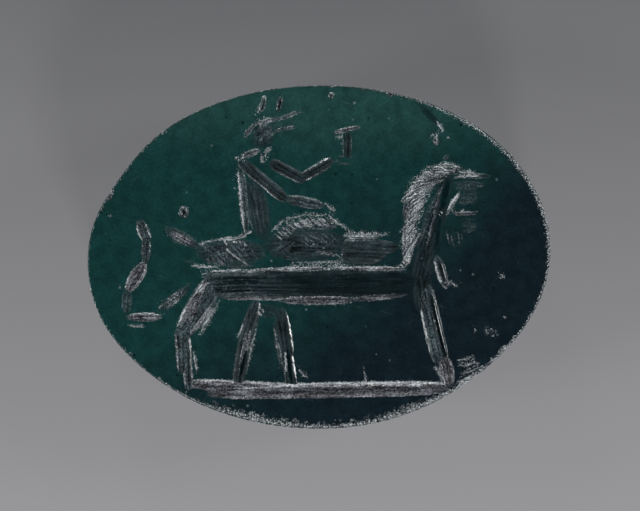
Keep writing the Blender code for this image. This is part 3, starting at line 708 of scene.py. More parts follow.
def engrave():
    work = Engraving()
    for cut in (
        cut_wear, cut_ground_line, cut_lion_body, cut_lion_head, cut_lion_mane, cut_lion_legs,
        cut_lion_tail, cut_rider_head, cut_rider_body, cut_rider_arms, cut_cup,
        cut_rider_robe, cut_rider_leg,
    ):
        cut(work)
    return work


# The worn rim

CHIP_BANDS = (
    # from angle, to angle, how many, across, how far in from the rim
    (230.0, 314.0, 150, 0.065 * MM, 0.26 * MM),
    (234.0, 262.0, 50, 0.075 * MM, 0.36 * MM),
    (286.0, 316.0, 60, 0.07 * MM, 0.30 * MM),
    (314.0, 338.0, 30, 0.065 * MM, 0.14 * MM),
    (345.0, 405.0, 80, 0.06 * MM, 0.16 * MM),
    (48.0, 76.0, 16, 0.08 * MM, 0.10 * MM),
    (140.0, 172.0, 22, 0.07 * MM, 0.10 * MM),
    (205.0, 230.0, 18, 0.08 * MM, 0.12 * MM),
)
LONE_CHIPS = (
    # angle, across
    (163.5, 0.30 * MM),
    (86.0, 0.16 * MM),
    (66.5, 0.24 * MM),
    (24.0, 0.26 * MM),
    (19.0, 0.22 * MM),
    (344.0, 0.20 * MM),
    (333.0, 0.34 * MM),
    (329.0, 0.24 * MM),
    (318.0, 0.26 * MM),
    (126.0, 0.10 * MM),
)
CHIP_DEPTH = 0.22
CHIP_LENGTH = 0.62
CHIP_BREADTH = 0.5
CRUMBLE_PITCH = 0.05 * MM
CRUMBLE_DEPTH = 0.08
WORN_REACH = 0.5 * MM

# How far in from the rim the stone is crumbled, by angle
RIM_WEAR = (
    (0.0, 0.22 * MM), (25.0, 0.30 * MM), (45.0, 0.28 * MM), (60.0, 0.12 * MM), (80.0, 0.08 * MM),
    (110.0, 0.06 * MM), (140.0, 0.09 * MM), (165.0, 0.13 * MM), (190.0, 0.09 * MM), (212.0, 0.12 * MM),
    (232.0, 0.20 * MM), (243.0, 0.50 * MM), (255.0, 0.40 * MM), (272.0, 0.26 * MM), (285.0, 0.30 * MM),
    (300.0, 0.50 * MM), (316.0, 0.26 * MM), (332.0, 0.20 * MM), (345.0, 0.16 * MM), (360.0, 0.20 * MM),
)


def rim_wear(x, y):
    """How far in from the rim the stone is crumbled, towards each place."""
    heading = np.degrees(np.arctan2(y, x)) % 360.0
    angles, reaches = zip(*RIM_WEAR)
    return np.interp(heading, angles, reaches)


class WornRim:
    """Little conchoidal chips out of the arris, and its crumbled line."""

    def __init__(self):
        self.chips = []
        for band, (first, last, count, across, inward) in enumerate(CHIP_BANDS):
            for i in range(count):
                share = (i + 0.5 + 0.5 * chance(i, 200 + band)) / count
                size = across * (1.0 + 0.45 * chance(i, 220 + band))
                share_in = ((1.0 + chance(i, 240 + band)) / 2.0) ** 1.6
                self.add(first + (last - first) * share, size, inward * share_in)
        for angle, across in LONE_CHIPS:
            self.add(angle, across, 0.0)

    def add(self, angle, across, inward):
        heading = math.radians(angle) % math.tau
        radius = float(np.interp(heading, outline.headings, outline.radii)) - inward
        self.chips.append((radius * math.cos(heading), radius * math.sin(heading), across, heading))

    def depth(self, x, y):
        """How deep the rim is chipped away at each place."""
        inside = outline.inside(x, y)
        depth = np.zeros_like(x)
        near = np.nonzero(inside < WORN_REACH)[0]
        nx, ny = x[near], y[near]
        wave = ripple(nx / CRUMBLE_PITCH, ny / CRUMBLE_PITCH, CRUMBLE_SEEDS[0])
        fine = ripple(nx / CRUMBLE_PITCH * 2.2, ny / CRUMBLE_PITCH * 2.2, CRUMBLE_SEEDS[1])
        worn = np.zeros_like(nx)
        for cx, cy, across, heading in self.chips:
            dx, dy = nx - cx, ny - cy
            outward = dx * math.cos(heading) + dy * math.sin(heading)
            sideways = dy * math.cos(heading) - dx * math.sin(heading)
            reach = across * (1.0 + 0.22 * wave)
            long, short = sideways / (reach * CHIP_LENGTH), outward / (reach * CHIP_BREADTH)
            away = np.sqrt(long ** 2 + short ** 2)
            bowl = across * CHIP_DEPTH * np.sqrt(np.clip(1.0 - away ** 2, 0.0, None))
            worn = np.maximum(worn, bowl * (1.0 + 0.15 * fine))
        wear = rim_wear(nx, ny)
        crumb = np.clip(wave + 0.5 * fine, 0.0, None) * CRUMBLE_DEPTH * wear
        worn = worn + crumb * (1.0 - smooth_step(0.1, 0.9, inside[near] / wear))
        depth[near] = worn
        return depth, inside


# The stone's form

def square_to_round(across, up):
    """Moves a square's points onto a disc without folding."""
    return across * np.sqrt(1.0 - up * up / 2.0), up * np.sqrt(1.0 - across * across / 2.0)


def flat_sheet(steps_long, steps_wide, inset):
    """A grid of points over the oval, stopped short of its outline by inset(x, y)."""
    across, up = np.meshgrid(np.linspace(-1, 1, steps_long + 1), np.linspace(-1, 1, steps_wide + 1))
    disc_x, disc_y = square_to_round(across.ravel(), up.ravel())
    reach = np.hypot(disc_x, disc_y)
    turn = np.arctan2(disc_y, disc_x)
    edge_x, edge_y = outline.at(turn)
    short = 1.0 - inset(edge_x, edge_y) / np.hypot(edge_x, edge_y)
    plain_x, plain_y = np.cos(turn) * GEM_LENGTH / 2.0, np.sin(turn) * GEM_WIDTH / 2.0
    pull = reach ** 3
    x = (plain_x * (1.0 - pull) + edge_x * short * pull) * reach
    y = (plain_y * (1.0 - pull) + edge_y * short * pull) * reach
    return x, y, turn


def sheet_rim(steps_long, steps_wide):
    """The grid's border points in order, counter-clockwise from its lower left corner."""
    row = steps_long + 1
    lower = np.arange(0, steps_long)
    right = steps_long + np.arange(0, steps_wide) * row
    upper = steps_wide * row + np.arange(steps_long, 0, -1)
    left = np.arange(steps_wide, 0, -1) * row
    return np.concatenate([lower, right, upper, left])


def sheet_faces(steps_long, steps_wide, first, downward=False):
    row = steps_long + 1
    corner = (np.arange(steps_wide)[:, None] * row + np.arange(steps_long)[None, :]).ravel() + first
    faces = np.stack([corner, corner + 1, corner + row + 1, corner + row], axis=1)
    return faces[:, ::-1] if downward else faces


def band_faces(upper, lower):
    """Faces between two rings of as many points, the upper one above."""
    return np.stack([upper, lower, np.roll(lower, -1), np.roll(upper, -1)], axis=1)


def thinning_faces(fine, coarse):
    """Triangles between a fine ring above and a ring with fewer points below."""
    step = len(fine) // len(coarse)
    half = step // 2
    faces = []
    for i in range(len(coarse)):
        first, second = coarse[i], coarse[(i + 1) % len(coarse)]
        run = [fine[(i * step + k) % len(fine)] for k in range(step + 1)]
        faces += [(run[k], first, run[k + 1]) for k in range(half)]
        faces.append((run[half], first, second))
        faces += [(run[k], second, run[k + 1]) for k in range(half, step)]
    return np.array(faces)


def side_inset(under):
    """How far the side stands in from the outline, at a depth below the face."""
    side_low = GEM_THICKNESS - BACK_BEVEL
    share = min(max((under - FACE_BEVEL) / (side_low - FACE_BEVEL), 0.0), 1.0)
    bulge = SIDE_TAPER * SIDE_BULGE * math.sin(share * math.pi)
    chamfer = max(under - side_low, 0.0)
    return SIDE_TAPER * share - bulge + chamfer


def upper_rings():
    """Depth below the face, and share of the bevel left, for each fine ring."""
    quarter = math.pi / 2.0
    rings = [
        (FACE_BEVEL * (1.0 - math.cos(share * quarter)), 1.0 - math.sin(share * quarter))
        for share in BEVEL_SHARES
    ]
    return rings + [(FACE_BEVEL + i * FINE_RING_STEP, 0.0) for i in range(1, FINE_RINGS + 1)]


def lower_depths():
    """Depth below the face of each coarse ring, down to just above the back."""
    start = upper_rings()[-1][0]
    side_low = GEM_THICKNESS - BACK_BEVEL
    side = [start + (side_low - start) * i / SIDE_RINGS for i in range(1, SIDE_RINGS + 1)]
    chamfer = [side_low + BACK_BEVEL * i / CHAMFER_RINGS for i in range(1, CHAMFER_RINGS)]
    return side + chamfer


def stone_points(work, rim):
    """Points and faces of the whole stone, before it is thinned out."""
    x, y, turn = flat_sheet(FACE_STEPS_LONG, FACE_STEPS_WIDE, face_inset)
    cut_depth, _, near_cut, _, _ = work.carve(x, y)
    row, column = np.divmod(np.arange(len(x)), FACE_STEPS_LONG + 1)
    spaced = (column % KEPT_EVERY == 0) & (row % KEPT_EVERY == 0)
    kept = np.nonzero((near_cut > 0.0) & (near_cut < KEPT_NEARNESS) & spaced)[0]
    depth = np.maximum(cut_depth, rim.depth(x, y)[0])
    points = [np.stack([x, y, GEM_THICKNESS - depth], axis=1)]
    border = sheet_rim(FACE_STEPS_LONG, FACE_STEPS_WIDE)
    quads = [sheet_faces(FACE_STEPS_LONG, FACE_STEPS_WIDE, 0)]
    count = len(x)

    edge_x, edge_y = outline.at(turn[border])
    size = np.hypot(edge_x, edge_y)
    bevel = face_inset(edge_x, edge_y)
    above = border
    for under, bevel_share in upper_rings():
        short = 1.0 - (bevel * bevel_share + side_inset(under)) / size
        ring_x, ring_y = edge_x * short, edge_y * short
        chipped = np.maximum(rim.depth(ring_x, ring_y)[0], work.carve(ring_x, ring_y)[0])
        lower = np.hypot(under, chipped)
        bite = 1.0 - BITE_SHARE * chipped * math.exp(-under / BITE_REACH) / size
        points.append(np.stack([ring_x * bite, ring_y * bite, GEM_THICKNESS - lower], axis=1))
        ring = np.arange(count, count + len(border))
        count += len(border)
        quads.append(band_faces(above, ring))
        above = ring

    coarse = slice(None, None, COARSER)
    triangles = None
    for under in lower_depths():
        short = 1.0 - side_inset(under) / size[coarse]
        level = np.full_like(short, GEM_THICKNESS - under)
        points.append(np.stack([edge_x[coarse] * short, edge_y[coarse] * short, level], axis=1))
        ring = np.arange(count, count + len(short))
        count += len(short)
        if triangles is None:
            triangles = thinning_faces(above, ring)
        else:
            quads.append(band_faces(above, ring))
        above = ring

    back_long, back_wide = FACE_STEPS_LONG // COARSER, FACE_STEPS_WIDE // COARSER
    back_x, back_y, _ = flat_sheet(
        back_long, back_wide, lambda ex, ey: np.full_like(ex, side_inset(GEM_THICKNESS)),
    )
    points.append(np.stack([back_x, back_y, np.zeros_like(back_x)], axis=1))
    quads.append(sheet_faces(back_long, back_wide, count, downward=True))
    quads.append(band_faces(above, sheet_rim(back_long, back_wide) + count))
    return np.concatenate(points), np.concatenate(quads), triangles, kept


def read_all(items, field, size=1, kind=np.float32):
    """One field of all of a mesh's points, edges, corners or faces."""
    values = np.empty(len(items) * size, dtype=kind)
    items.foreach_get(field, values)
    return values.reshape(-1, size) if size > 1 else values


def store(mesh, name, kind, domain, values, field="value"):
    layer = mesh.attributes.new(name, kind, domain)
    layer.data.foreach_set(field, values)


def put_in_scene(name, data):
    made = bpy.data.objects.new(name, data)
    bpy.context.scene.collection.objects.link(made)
    return made


def build_mesh(name, points, quads, triangles):
    mesh = bpy.data.meshes.new(name)
    mesh.vertices.add(len(points))
    mesh.vertices.foreach_set("co", points.astype(np.float32).ravel())
    corners = np.concatenate([quads.ravel(), triangles.ravel()]).astype(np.int32)
    mesh.loops.add(len(corners))
    mesh.loops.foreach_set("vertex_index", corners)
    starts = np.concatenate([
        np.arange(len(quads)) * 4, len(quads) * 4 + np.arange(len(triangles)) * 3,
    ]).astype(np.int32)
    mesh.polygons.add(len(starts))
    mesh.polygons.foreach_set("loop_start", starts)
    mesh.update(calc_edges=True)
    mesh.validate()
    return mesh


def settle(obj):
    """Turns the object's modifiers into its own mesh."""
    was = obj.data
    graph = bpy.context.evaluated_depsgraph_get()
    made = bpy.data.meshes.new_from_object(obj.evaluated_get(graph))
    name = was.name
    obj.modifiers.clear()
    obj.data = made
    bpy.data.meshes.remove(was)
    made.name = name
    return made


def thin_out(obj, kept):
    """Merges what is flat, except at the kept points, so that the carving has the triangles."""
    mesh = obj.data
    group = obj.vertex_groups.new(name="kept")
    group.add([int(i) for i in kept], 1.0, "REPLACE")
    thin = obj.modifiers.new("thin_out", "DECIMATE")
    thin.ratio = min(1.0, MOST_TRIANGLES / (len(mesh.loops) - 2 * len(mesh.polygons)))
    thin.vertex_group = group.name
    thin.invert_vertex_group = True
    mesh = settle(obj)
    obj.vertex_groups.clear()
    return mesh


def shade(mesh):
    """Smooth, but sharp at arrises and where the flat face meets a cut."""
    mesh.shade_smooth()
    normals = read_all(mesh.polygons, "normal", 3)
    sizes = read_all(mesh.polygons, "loop_total", kind=np.int32)
    edges = read_all(mesh.loops, "edge_index", kind=np.int32)
    owners = np.repeat(np.arange(len(sizes)), sizes)
    order = np.argsort(edges, kind="stable")
    pairs = np.nonzero(edges[order][1:] == edges[order][:-1])[0]
    first, second = owners[order[pairs]], owners[order[pairs + 1]]
    likeness = (normals[first] * normals[second]).sum(axis=1)
    turn = np.degrees(np.arccos(np.clip(likeness, -1.0, 1.0)))
    flat = (normals[first, 2] > LEVEL) != (normals[second, 2] > LEVEL)
    sharp = np.zeros(len(mesh.edges), dtype=bool)
    sharp[edges[order[pairs]]] = (turn > SHARP_TURN) | (flat & (turn > FLAT_TURN))
    store(mesh, "sharp_edge", "BOOLEAN", "EDGE", sharp)


def mark_surface(mesh, work, rim):
    """Stores on each point how frosted it is, how near to a cut and to the rim, and its streak."""
    places = read_all(mesh.vertices, "co", 3).astype(np.float64)
    x, y = places[:, 0].copy(), places[:, 1].copy()
    depth, frost, near_cut, torn_lip, streak = work.carve(x, y)
    chipped, inside = rim.depth(x, y)
    frost = np.where(chipped > depth, CRUSHED, frost)
    on_face = places[:, 2] > GEM_THICKNESS - MARKS_REACH
    for name, values in (
        ("frost", frost * on_face),
        ("near_cut", near_cut * on_face),
        ("torn_lip", torn_lip * on_face),
        ("rim_away", np.clip(inside / MM, 0.0, 2.0)),
        ("rim_wear", rim_wear(x, y) / MM),
    ):
        store(mesh, name, "FLOAT", "POINT", values.astype(np.float32))
    streak[:, :2] /= MM
    streak = streak.astype(np.float32).ravel()
    store(mesh, "streak", "FLOAT_VECTOR", "POINT", streak, "vector")


# Helpers for the shader nodes

def new_material(name):
    material = bpy.data.materials.new(name)
    material.use_nodes = True
    tree = material.node_tree
    return material, tree, tree.nodes["Principled BSDF"]


FLOAT, VECTOR, COLOUR = "NodeSocketFloat", "NodeSocketVector", "NodeSocketColor"


def new_group(name, inputs, outputs):
    """An empty node group; inputs give a kind and a usual value, outputs a kind."""
    group = bpy.data.node_groups.new(name, "ShaderNodeTree")
    for label, (kind, usual) in inputs.items():
        socket = group.interface.new_socket(label, in_out="INPUT", socket_type=kind)
        if usual is not None:
            socket.default_value = usual
    for label, kind in outputs.items():
        group.interface.new_socket(label, in_out="OUTPUT", socket_type=kind)
    return group, group.nodes.new("NodeGroupInput").outputs, group.nodes.new("NodeGroupOutput").inputs


def feed(tree, socket, value):
    if isinstance(value, bpy.types.NodeSocket):
        tree.links.new(value, socket)
    else:
        socket.default_value = value


def node(tree, kind, inputs=None, **settings):
    made = tree.nodes.new(kind)
    for key, value in settings.items():
        setattr(made, key, value)
    for key, value in (inputs or {}).items():
        feed(tree, made.inputs[key], value)
    return made


def maths(tree, operation, *numbers, clamp=False):
    inputs = dict(enumerate(numbers))
    return node(tree, "ShaderNodeMath", inputs, operation=operation, use_clamp=clamp).outputs[0]


def times(tree, first, second):
    return maths(tree, "MULTIPLY", first, second)


def times_plus(tree, first, second, third, clamp=False):
    return maths(tree, "MULTIPLY_ADD", first, second, third, clamp=clamp)


def larger(tree, first, second):
    return maths(tree, "MAXIMUM", first, second)


def step(tree, value, low, high, to_low=0.0, to_high=1.0):
    """Eases from one number to another while a value goes from low to high."""
    made = node(
        tree, "ShaderNodeMapRange",
        {"Value": value, "From Min": low, "From Max": high, "To Min": to_low, "To Max": to_high},
        interpolation_type="SMOOTHSTEP",
    )
    return made.outputs["Result"]


def stretched(tree, vector, scale):
    return node(tree, "ShaderNodeVectorMath", {0: vector, 1: scale}, operation="MULTIPLY").outputs[0]


def scaled(tree, vector, by):
    made = node(tree, "ShaderNodeVectorMath", {0: vector, "Scale": by}, operation="SCALE")
    return made.outputs[0]


def part(tree, vector, axis):
    return node(tree, "ShaderNodeSeparateXYZ", {0: vector}).outputs[axis]


def noise(tree, vector, scale, detail=2.0, roughness=0.5):
    made = node(
        tree, "ShaderNodeTexNoise",
        {"Vector": vector, "Scale": scale, "Detail": detail, "Roughness": roughness},
    )
    return made.outputs["Fac"]


def mix(tree, share, first, second):
    made = node(tree, "ShaderNodeMix", {"Factor": share, "A": first, "B": second}, data_type="RGBA")
    return made.outputs["Result"]


def attribute(tree, name, output="Fac"):
    return node(tree, "ShaderNodeAttribute", attribute_name=name).outputs[output]


def millimetres(tree):
    """Place on the stone, in millimetres."""
    coordinates = node(tree, "ShaderNodeTexCoord").outputs["Object"]
    return stretched(tree, coordinates, (1000.0, 1000.0, 1000.0))


JASPER_GREEN = (0.0115, 0.062, 0.061, 1.0)
JASPER_BLUE = (0.0095, 0.022, 0.031, 1.0)
JASPER_PALE = (0.030, 0.105, 0.096, 1.0)
JASPER_IOR = 1.54
# White of frosted and chipped stone, also used for the painted glints in the cuts.
FROST_AND_GLINT_WHITE = (0.73, 0.78, 0.80, 1.0)
SPECK_PALE = (0.12, 0.18, 0.18, 1.0)
# Dark flaws in the stone; also the painted shade in the deep middle of some cuts.
FLAW_AND_SHADE_DARK = (0.001, 0.006, 0.007, 1.0)
POLISH_ROUGHNESS = 0.13

# Colour of a cut's floor, from one left nearly polished to one of crushed stone
CUT_COLOURS = (
    (SATIN, (0.006, 0.013, 0.015, 1.0)),
    (WORN, (0.036, 0.053, 0.059, 1.0)),
    (ROUGH, (0.080, 0.084, 0.096, 1.0)),
    (CRUSHED, (0.055, 0.072, 0.080, 1.0)),
)


# Effects, each built once

def jasper_group():
    """The stone's colour: green to one side, bluer and darker to the other, lighter towards the top
    edge, mottled.
    """
    group, given, out = new_group(
        "jasper_colour",
        {"Place": (VECTOR, None)},
        {"Color": COLOUR},
    )
    parts = node(group, "ShaderNodeSeparateXYZ", {0: given["Place"]}).outputs
    cloud = noise(group, given["Place"], 0.32, 3.0)
    drift = times_plus(group, parts["X"], 0.085, 0.42)
    drift = times_plus(group, parts["Y"], -0.10, drift)
    drift = times_plus(group, maths(group, "SUBTRACT", cloud, 0.5), 0.7, drift)
    colour = mix(group, step(group, drift, 0.15, 0.95), JASPER_GREEN, JASPER_BLUE)
    top = times_plus(group, parts["X"], 0.03, parts["Y"])
    top = times_plus(group, maths(group, "SUBTRACT", cloud, 0.5), 3.0, top)
    colour = mix(group, step(group, top, 2.4, 5.2, 0.0, 0.75), colour, JASPER_PALE)
    patches = noise(group, given["Place"], 2.6, 3.0, 0.6)
    grain = noise(group, given["Place"], 13.0, 1.0, 0.5)
    bright = step(group, patches, 0.30, 0.70, 0.78, 0.54)
    bright = times(group, bright, step(group, grain, 0.25, 0.75, 0.87, 1.14))
    group.links.new(scaled(group, colour, bright), out["Color"])
    return group


def speck_group():
    """Small pale specks, few and uneven in size."""
    group, given, out = new_group(
        "pale_specks",
        {
            "Place": (VECTOR, None),
            "Spacing": (FLOAT, 0.4),
            "Size": (FLOAT, 0.03),
        },
        {"Mask": FLOAT},
    )
    per_mm = maths(group, "DIVIDE", 1.0, given["Spacing"])
    cells = node(group, "ShaderNodeTexVoronoi", {"Vector": given["Place"], "Scale": per_mm})
    away = times(group, cells.outputs["Distance"], given["Spacing"])
    pick = node(group, "ShaderNodeSeparateColor", {0: cells.outputs["Color"]}).outputs
    size = times(group, given["Size"], step(group, pick[0], 0.62, 1.0))
    mask = maths(group, "GREATER_THAN", size, away)
    group.links.new(times(group, mask, pick[1]), out["Mask"])
    return group


def frost_glint_group():
    """Stone crushed by the wheel: streaked along the cut, grainy, whitest at its edges; the white is
    partly frosting and partly painted glints in sparkling specks.
    """
    group, given, out = new_group(
        "wheel_frost_glints",
        {
            "Place": (VECTOR, None),
            "Streak": (VECTOR, None),
            "Frost": (FLOAT, 0.0),
            "Lip": (FLOAT, 0.0),
            "Depth": (FLOAT, 0.1),
        },
        {"White": FLOAT, "Tone": FLOAT, "Height": FLOAT},
    )
    lines = noise(group, stretched(group, given["Streak"], (0.9, 13.0, 0.0)), 1.0, 3.0, 0.65)
    grain = noise(group, given["Place"], 21.0, 2.0, 0.65)
    patches = noise(group, given["Place"], 2.1, 2.0, 0.6)
    loose = times_plus(group, lines, 1.1, times(group, grain, 1.3))
    loose = times_plus(group, patches, 1.5, loose)
    loose = times_plus(group, given["Lip"], 0.75, loose)
    loose = times_plus(group, given["Frost"], 0.55, loose)
    able = larger(group, step(group, given["Frost"], 0.1, 0.75), given["Lip"])
    # Painted glints: the white comes in bright sparkling specks, strongest along the lips, standing in
    # for the lamps' glints on the walls.
    white = times(group, step(group, loose, 2.40, 3.32), able)
    sparkle = noise(group, given["Place"], 25.0, 1.0, 0.8)
    sparkle = times_plus(group, lines, 1.1, sparkle)
    white = times(group, white, step(group, sparkle, 0.92, 1.28, 0.12, 1.0))
    tone = times_plus(group, lines, 0.8, times(group, patches, 0.3))
    streaky = step(group, given["Frost"], 0.05, 0.4, 0.12, 1.0)
    streaky = times(group, streaky, step(group, given["Depth"], 0.0, 0.05, 0.35, 1.0))
    wall = part(group, given["Streak"], "Z")
    tone = times_plus(group, step(group, wall, 0.2, 1.0), 0.06, tone)
    tone = maths(group, "SUBTRACT", step(group, tone, 0.40, 0.74, 0.2, 2.1), 1.0)
    tone = times_plus(group, tone, streaky, 1.0)
    grit = step(group, noise(group, given["Place"], 17.0, 2.0, 0.7), 0.40, 0.64, -0.65, 0.95)
    gritty = step(group, given["Frost"], 0.25, 0.6, 0.15, 1.0)
    tone = times(group, tone, times_plus(group, grit, gritty, 1.0))
    height = times_plus(group, lines, 0.8, times(group, grain, 0.9))
    height = times(group, height, step(group, given["Frost"], 0.0, 1.0, 0.12, 1.0))
    group.links.new(white, out["White"])
    group.links.new(tone, out["Tone"])
    group.links.new(height, out["Height"])
    return group


def chipping_group():
    """Grains broken out of a band beside an edge, thinning out away from it."""
    group, given, out = new_group(
        "edge_chipping",
        {
            "Place": (VECTOR, None),
            "Nearness": (FLOAT, 0.0),
            "Fineness": (FLOAT, 16.0),
        },
        {"Mask": FLOAT},
    )
    grain = noise(group, given["Place"], given["Fineness"], 2.0, 0.7)
    loose = times_plus(group, given["Nearness"], 0.42, grain)
    mask = times(group, step(group, loose, 0.86, 1.02), step(group, given["Nearness"], 0.05, 0.4))
    group.links.new(mask, out["Mask"])
    return group


def hairline_group():
    """Fine stray scratches in a polished or ground surface."""
    group, given, out = new_group(
        "hairlines",
        {"Place": (VECTOR, None), "Amount": (FLOAT, 0.5)},
        {"Mask": FLOAT},
    )
    total = None
    for number, angle in enumerate((0.35, 1.35, 2.5)):
        turned = node(
            group, "ShaderNodeVectorRotate", {"Vector": given["Place"], "Angle": angle},
            rotation_type="Z_AXIS",
        ).outputs[0]
        wave = noise(group, stretched(group, turned, (0.9, 22.0, 1.0)), 1.0 + 0.13 * number, 1.0)
        line = step(group, wave, 0.76, 0.79)
        total = line if total is None else larger(group, total, line)
    where = noise(group, given["Place"], 0.9, 1.0)
    total = times(group, total, step(group, where, 0.40, 0.62))
    group.links.new(times(group, total, given["Amount"]), out["Mask"])
    return group


def grinding_group():
    """Marks of the grinding disc, running level round the side."""
    group, given, out = new_group(
        "grinding_marks",
        {"Place": (VECTOR, None)},
        {"Height": FLOAT},
    )
    level = noise(group, stretched(group, given["Place"], (1.2, 1.2, 26.0)), 1.0, 2.0, 0.7)
    pores = noise(group, given["Place"], 9.0, 2.0, 0.7)
    height = times_plus(group, level, 0.7, times(group, pores, 0.3))
    group.links.new(height, out["Height"])
    return group


def effect(tree, group, output, **inputs):
    """Places an effect in a material; gives one of its outputs, or all."""
    made = tree.nodes.new("ShaderNodeGroup")
    made.node_tree = group
    for key, value in inputs.items():
        feed(tree, made.inputs[key], value)
    return made.outputs[output] if output else made.outputs


def face_material(effects):
    """Polished stone with frosted cuts whose white is partly painted glints, painted shade in the cores
    of some cuts, and a crumbled rim.
    """
    material, tree, shader = new_material("polished_jasper")
    place = millimetres(tree)
    height = part(tree, place, "Z")
    depth = maths(tree, "SUBTRACT", GEM_THICKNESS / MM, height)
    cut = step(tree, depth, 0.002, 0.010)
    frost = attribute(tree, "frost")
    lip = attribute(tree, "torn_lip")
    stone = effect(tree, effects["jasper"], "Color", Place=place)
    specks = effect(tree, effects["specks"], "Mask", Place=place, Spacing=0.36, Size=0.045)
    stone = mix(tree, specks, stone, SPECK_PALE)
    dark_place = stretched(tree, place, (1.07, 0.93, 1.0))
    flaws = effect(tree, effects["specks"], "Mask", Place=dark_place, Spacing=0.27, Size=0.05)
    stone = mix(tree, flaws, stone, FLAW_AND_SHADE_DARK)
    hairs = effect(tree, effects["hairlines"], "Mask", Place=place, Amount=0.2)
    stone = mix(tree, hairs, stone, SPECK_PALE)
    streak = attribute(tree, "streak", "Vector")
    frosted_with_glints = effect(
        tree, effects["frosted_with_glints"], None, Place=place, Streak=streak, Frost=frost, Lip=lip, Depth=depth,
    )
    floors = node(tree, "ShaderNodeValToRGB", {"Fac": frost})
    ramp = floors.color_ramp.elements
    ramp[0].position, ramp[0].color = CUT_COLOURS[0]
    ramp[1].position, ramp[1].color = CUT_COLOURS[-1]
    for position, colour in CUT_COLOURS[1:-1]:
        ramp.new(position).color = colour
    toned = scaled(tree, floors.outputs["Color"], frosted_with_glints["Tone"])
    share = step(tree, frost, POLISHED, SATIN, 0.1, 1.0)
    share = times(tree, share, step(tree, depth, 0.0, 0.045, 0.3, 1.0))
    greyed = mix(tree, share, stone, toned)
    # Painted shade: the deep middle of a cut left at the lowest level is darkened nearly to black.
    core_shade = step(tree, frost, POLISHED * 0.8, SHADED_CORE, 0.0, 0.85)
    core_shade = times(tree, core_shade, step(tree, depth, 0.02, 0.06))
    greyed = mix(tree, core_shade, greyed, FLAW_AND_SHADE_DARK)
    # Frosting and painted glints: the white specks of the cuts, strongest along their lips.
    worked = mix(tree, frosted_with_glints["White"], greyed, FROST_AND_GLINT_WHITE)
    colour = mix(tree, cut, stone, worked)
    near = times(tree, attribute(tree, "near_cut"), times_plus(tree, lip, 0.9, 0.35))
    beside = effect(tree, effects["chipping"], "Mask", Place=place, Nearness=near, Fineness=22.0)
    beside = times(tree, beside, times_plus(tree, cut, -0.5, 0.5))
    rim_away = attribute(tree, "rim_away")
    rim_near = step(tree, maths(tree, "DIVIDE", rim_away, attribute(tree, "rim_wear")), 1.1, 0.1)
    rim = effect(tree, effects["chipping"], "Mask", Place=place, Nearness=rim_near, Fineness=20.0)
    rim = times(tree, rim, step(tree, rim_away, 0.012, 0.06))
    rim = times(tree, rim, step(tree, attribute(tree, "rim_wear"), 0.03, 0.12, 0.45, 1.0))
    crumbled = larger(tree, beside, times(tree, rim, 0.85))
    colour = mix(tree, crumbled, colour, FROST_AND_GLINT_WHITE)
    tree.links.new(colour, shader.inputs["Base Color"])
    rough = step(tree, frost, SATIN, WORN, POLISH_ROUGHNESS, 0.27)
    rough = times_plus(tree, frosted_with_glints["White"], 0.10, rough)
    rough = node(tree, "ShaderNodeMix", {"Factor": cut, "A": POLISH_ROUGHNESS, "B": rough},
                 data_type="FLOAT").outputs["Result"]
    rough = times_plus(tree, crumbled, 0.45, rough, clamp=True)
    tree.links.new(rough, shader.inputs["Roughness"])
    relief = times(tree, frosted_with_glints["Height"], cut)
    relief = times_plus(tree, crumbled, -0.5, relief)
    bump = node(tree, "ShaderNodeBump", {"Strength": 0.8, "Distance": 0.012 * MM, "Height": relief})
    tree.links.new(bump.outputs["Normal"], shader.inputs["Normal"])
    shader.inputs["IOR"].default_value = JASPER_IOR
    return material


def side_material(effects):
    """Ground stone of the sides and back, satin, with the crumbled rim running into it."""
    material, tree, shader = new_material("ground_jasper")
    place = millimetres(tree)
    height = part(tree, place, "Z")
    depth = maths(tree, "SUBTRACT", GEM_THICKNESS / MM, height)
    stone = effect(tree, effects["jasper"], "Color", Place=place)
    specks = effect(tree, effects["specks"], "Mask", Place=place, Spacing=0.5, Size=0.05)
    stone = mix(tree, specks, stone, SPECK_PALE)
    marks = effect(tree, effects["grinding"], "Height", Place=place)
    colour = mix(tree, step(tree, marks, 0.50, 0.68, 0.0, 0.28), stone, SPECK_PALE)
    hairs = effect(tree, effects["hairlines"], "Mask", Place=place, Amount=0.6)
    colour = mix(tree, hairs, colour, SPECK_PALE)
    rim_near = step(tree, depth, 0.26, 0.04)
    rim = effect(tree, effects["chipping"], "Mask", Place=place, Nearness=rim_near, Fineness=9.0)
    foot_near = step(tree, height, 0.5, 0.0, 0.0, 0.55)
    foot = effect(tree, effects["chipping"], "Mask", Place=place, Nearness=foot_near, Fineness=7.0)
    crumbled = larger(tree, rim, times(tree, foot, 0.6))
    colour = mix(tree, crumbled, colour, FROST_AND_GLINT_WHITE)
    tree.links.new(colour, shader.inputs["Base Color"])
    rough = step(tree, marks, 0.4, 0.7, 0.26, 0.42)
    tree.links.new(times_plus(tree, crumbled, 0.4, rough, clamp=True), shader.inputs["Roughness"])
    relief = times_plus(tree, crumbled, -0.6, marks)
    bump = node(tree, "ShaderNodeBump", {"Strength": 0.6, "Distance": 0.018 * MM, "Height": relief})
    tree.links.new(bump.outputs["Normal"], shader.inputs["Normal"])
    shader.inputs["IOR"].default_value = JASPER_IOR
    return material


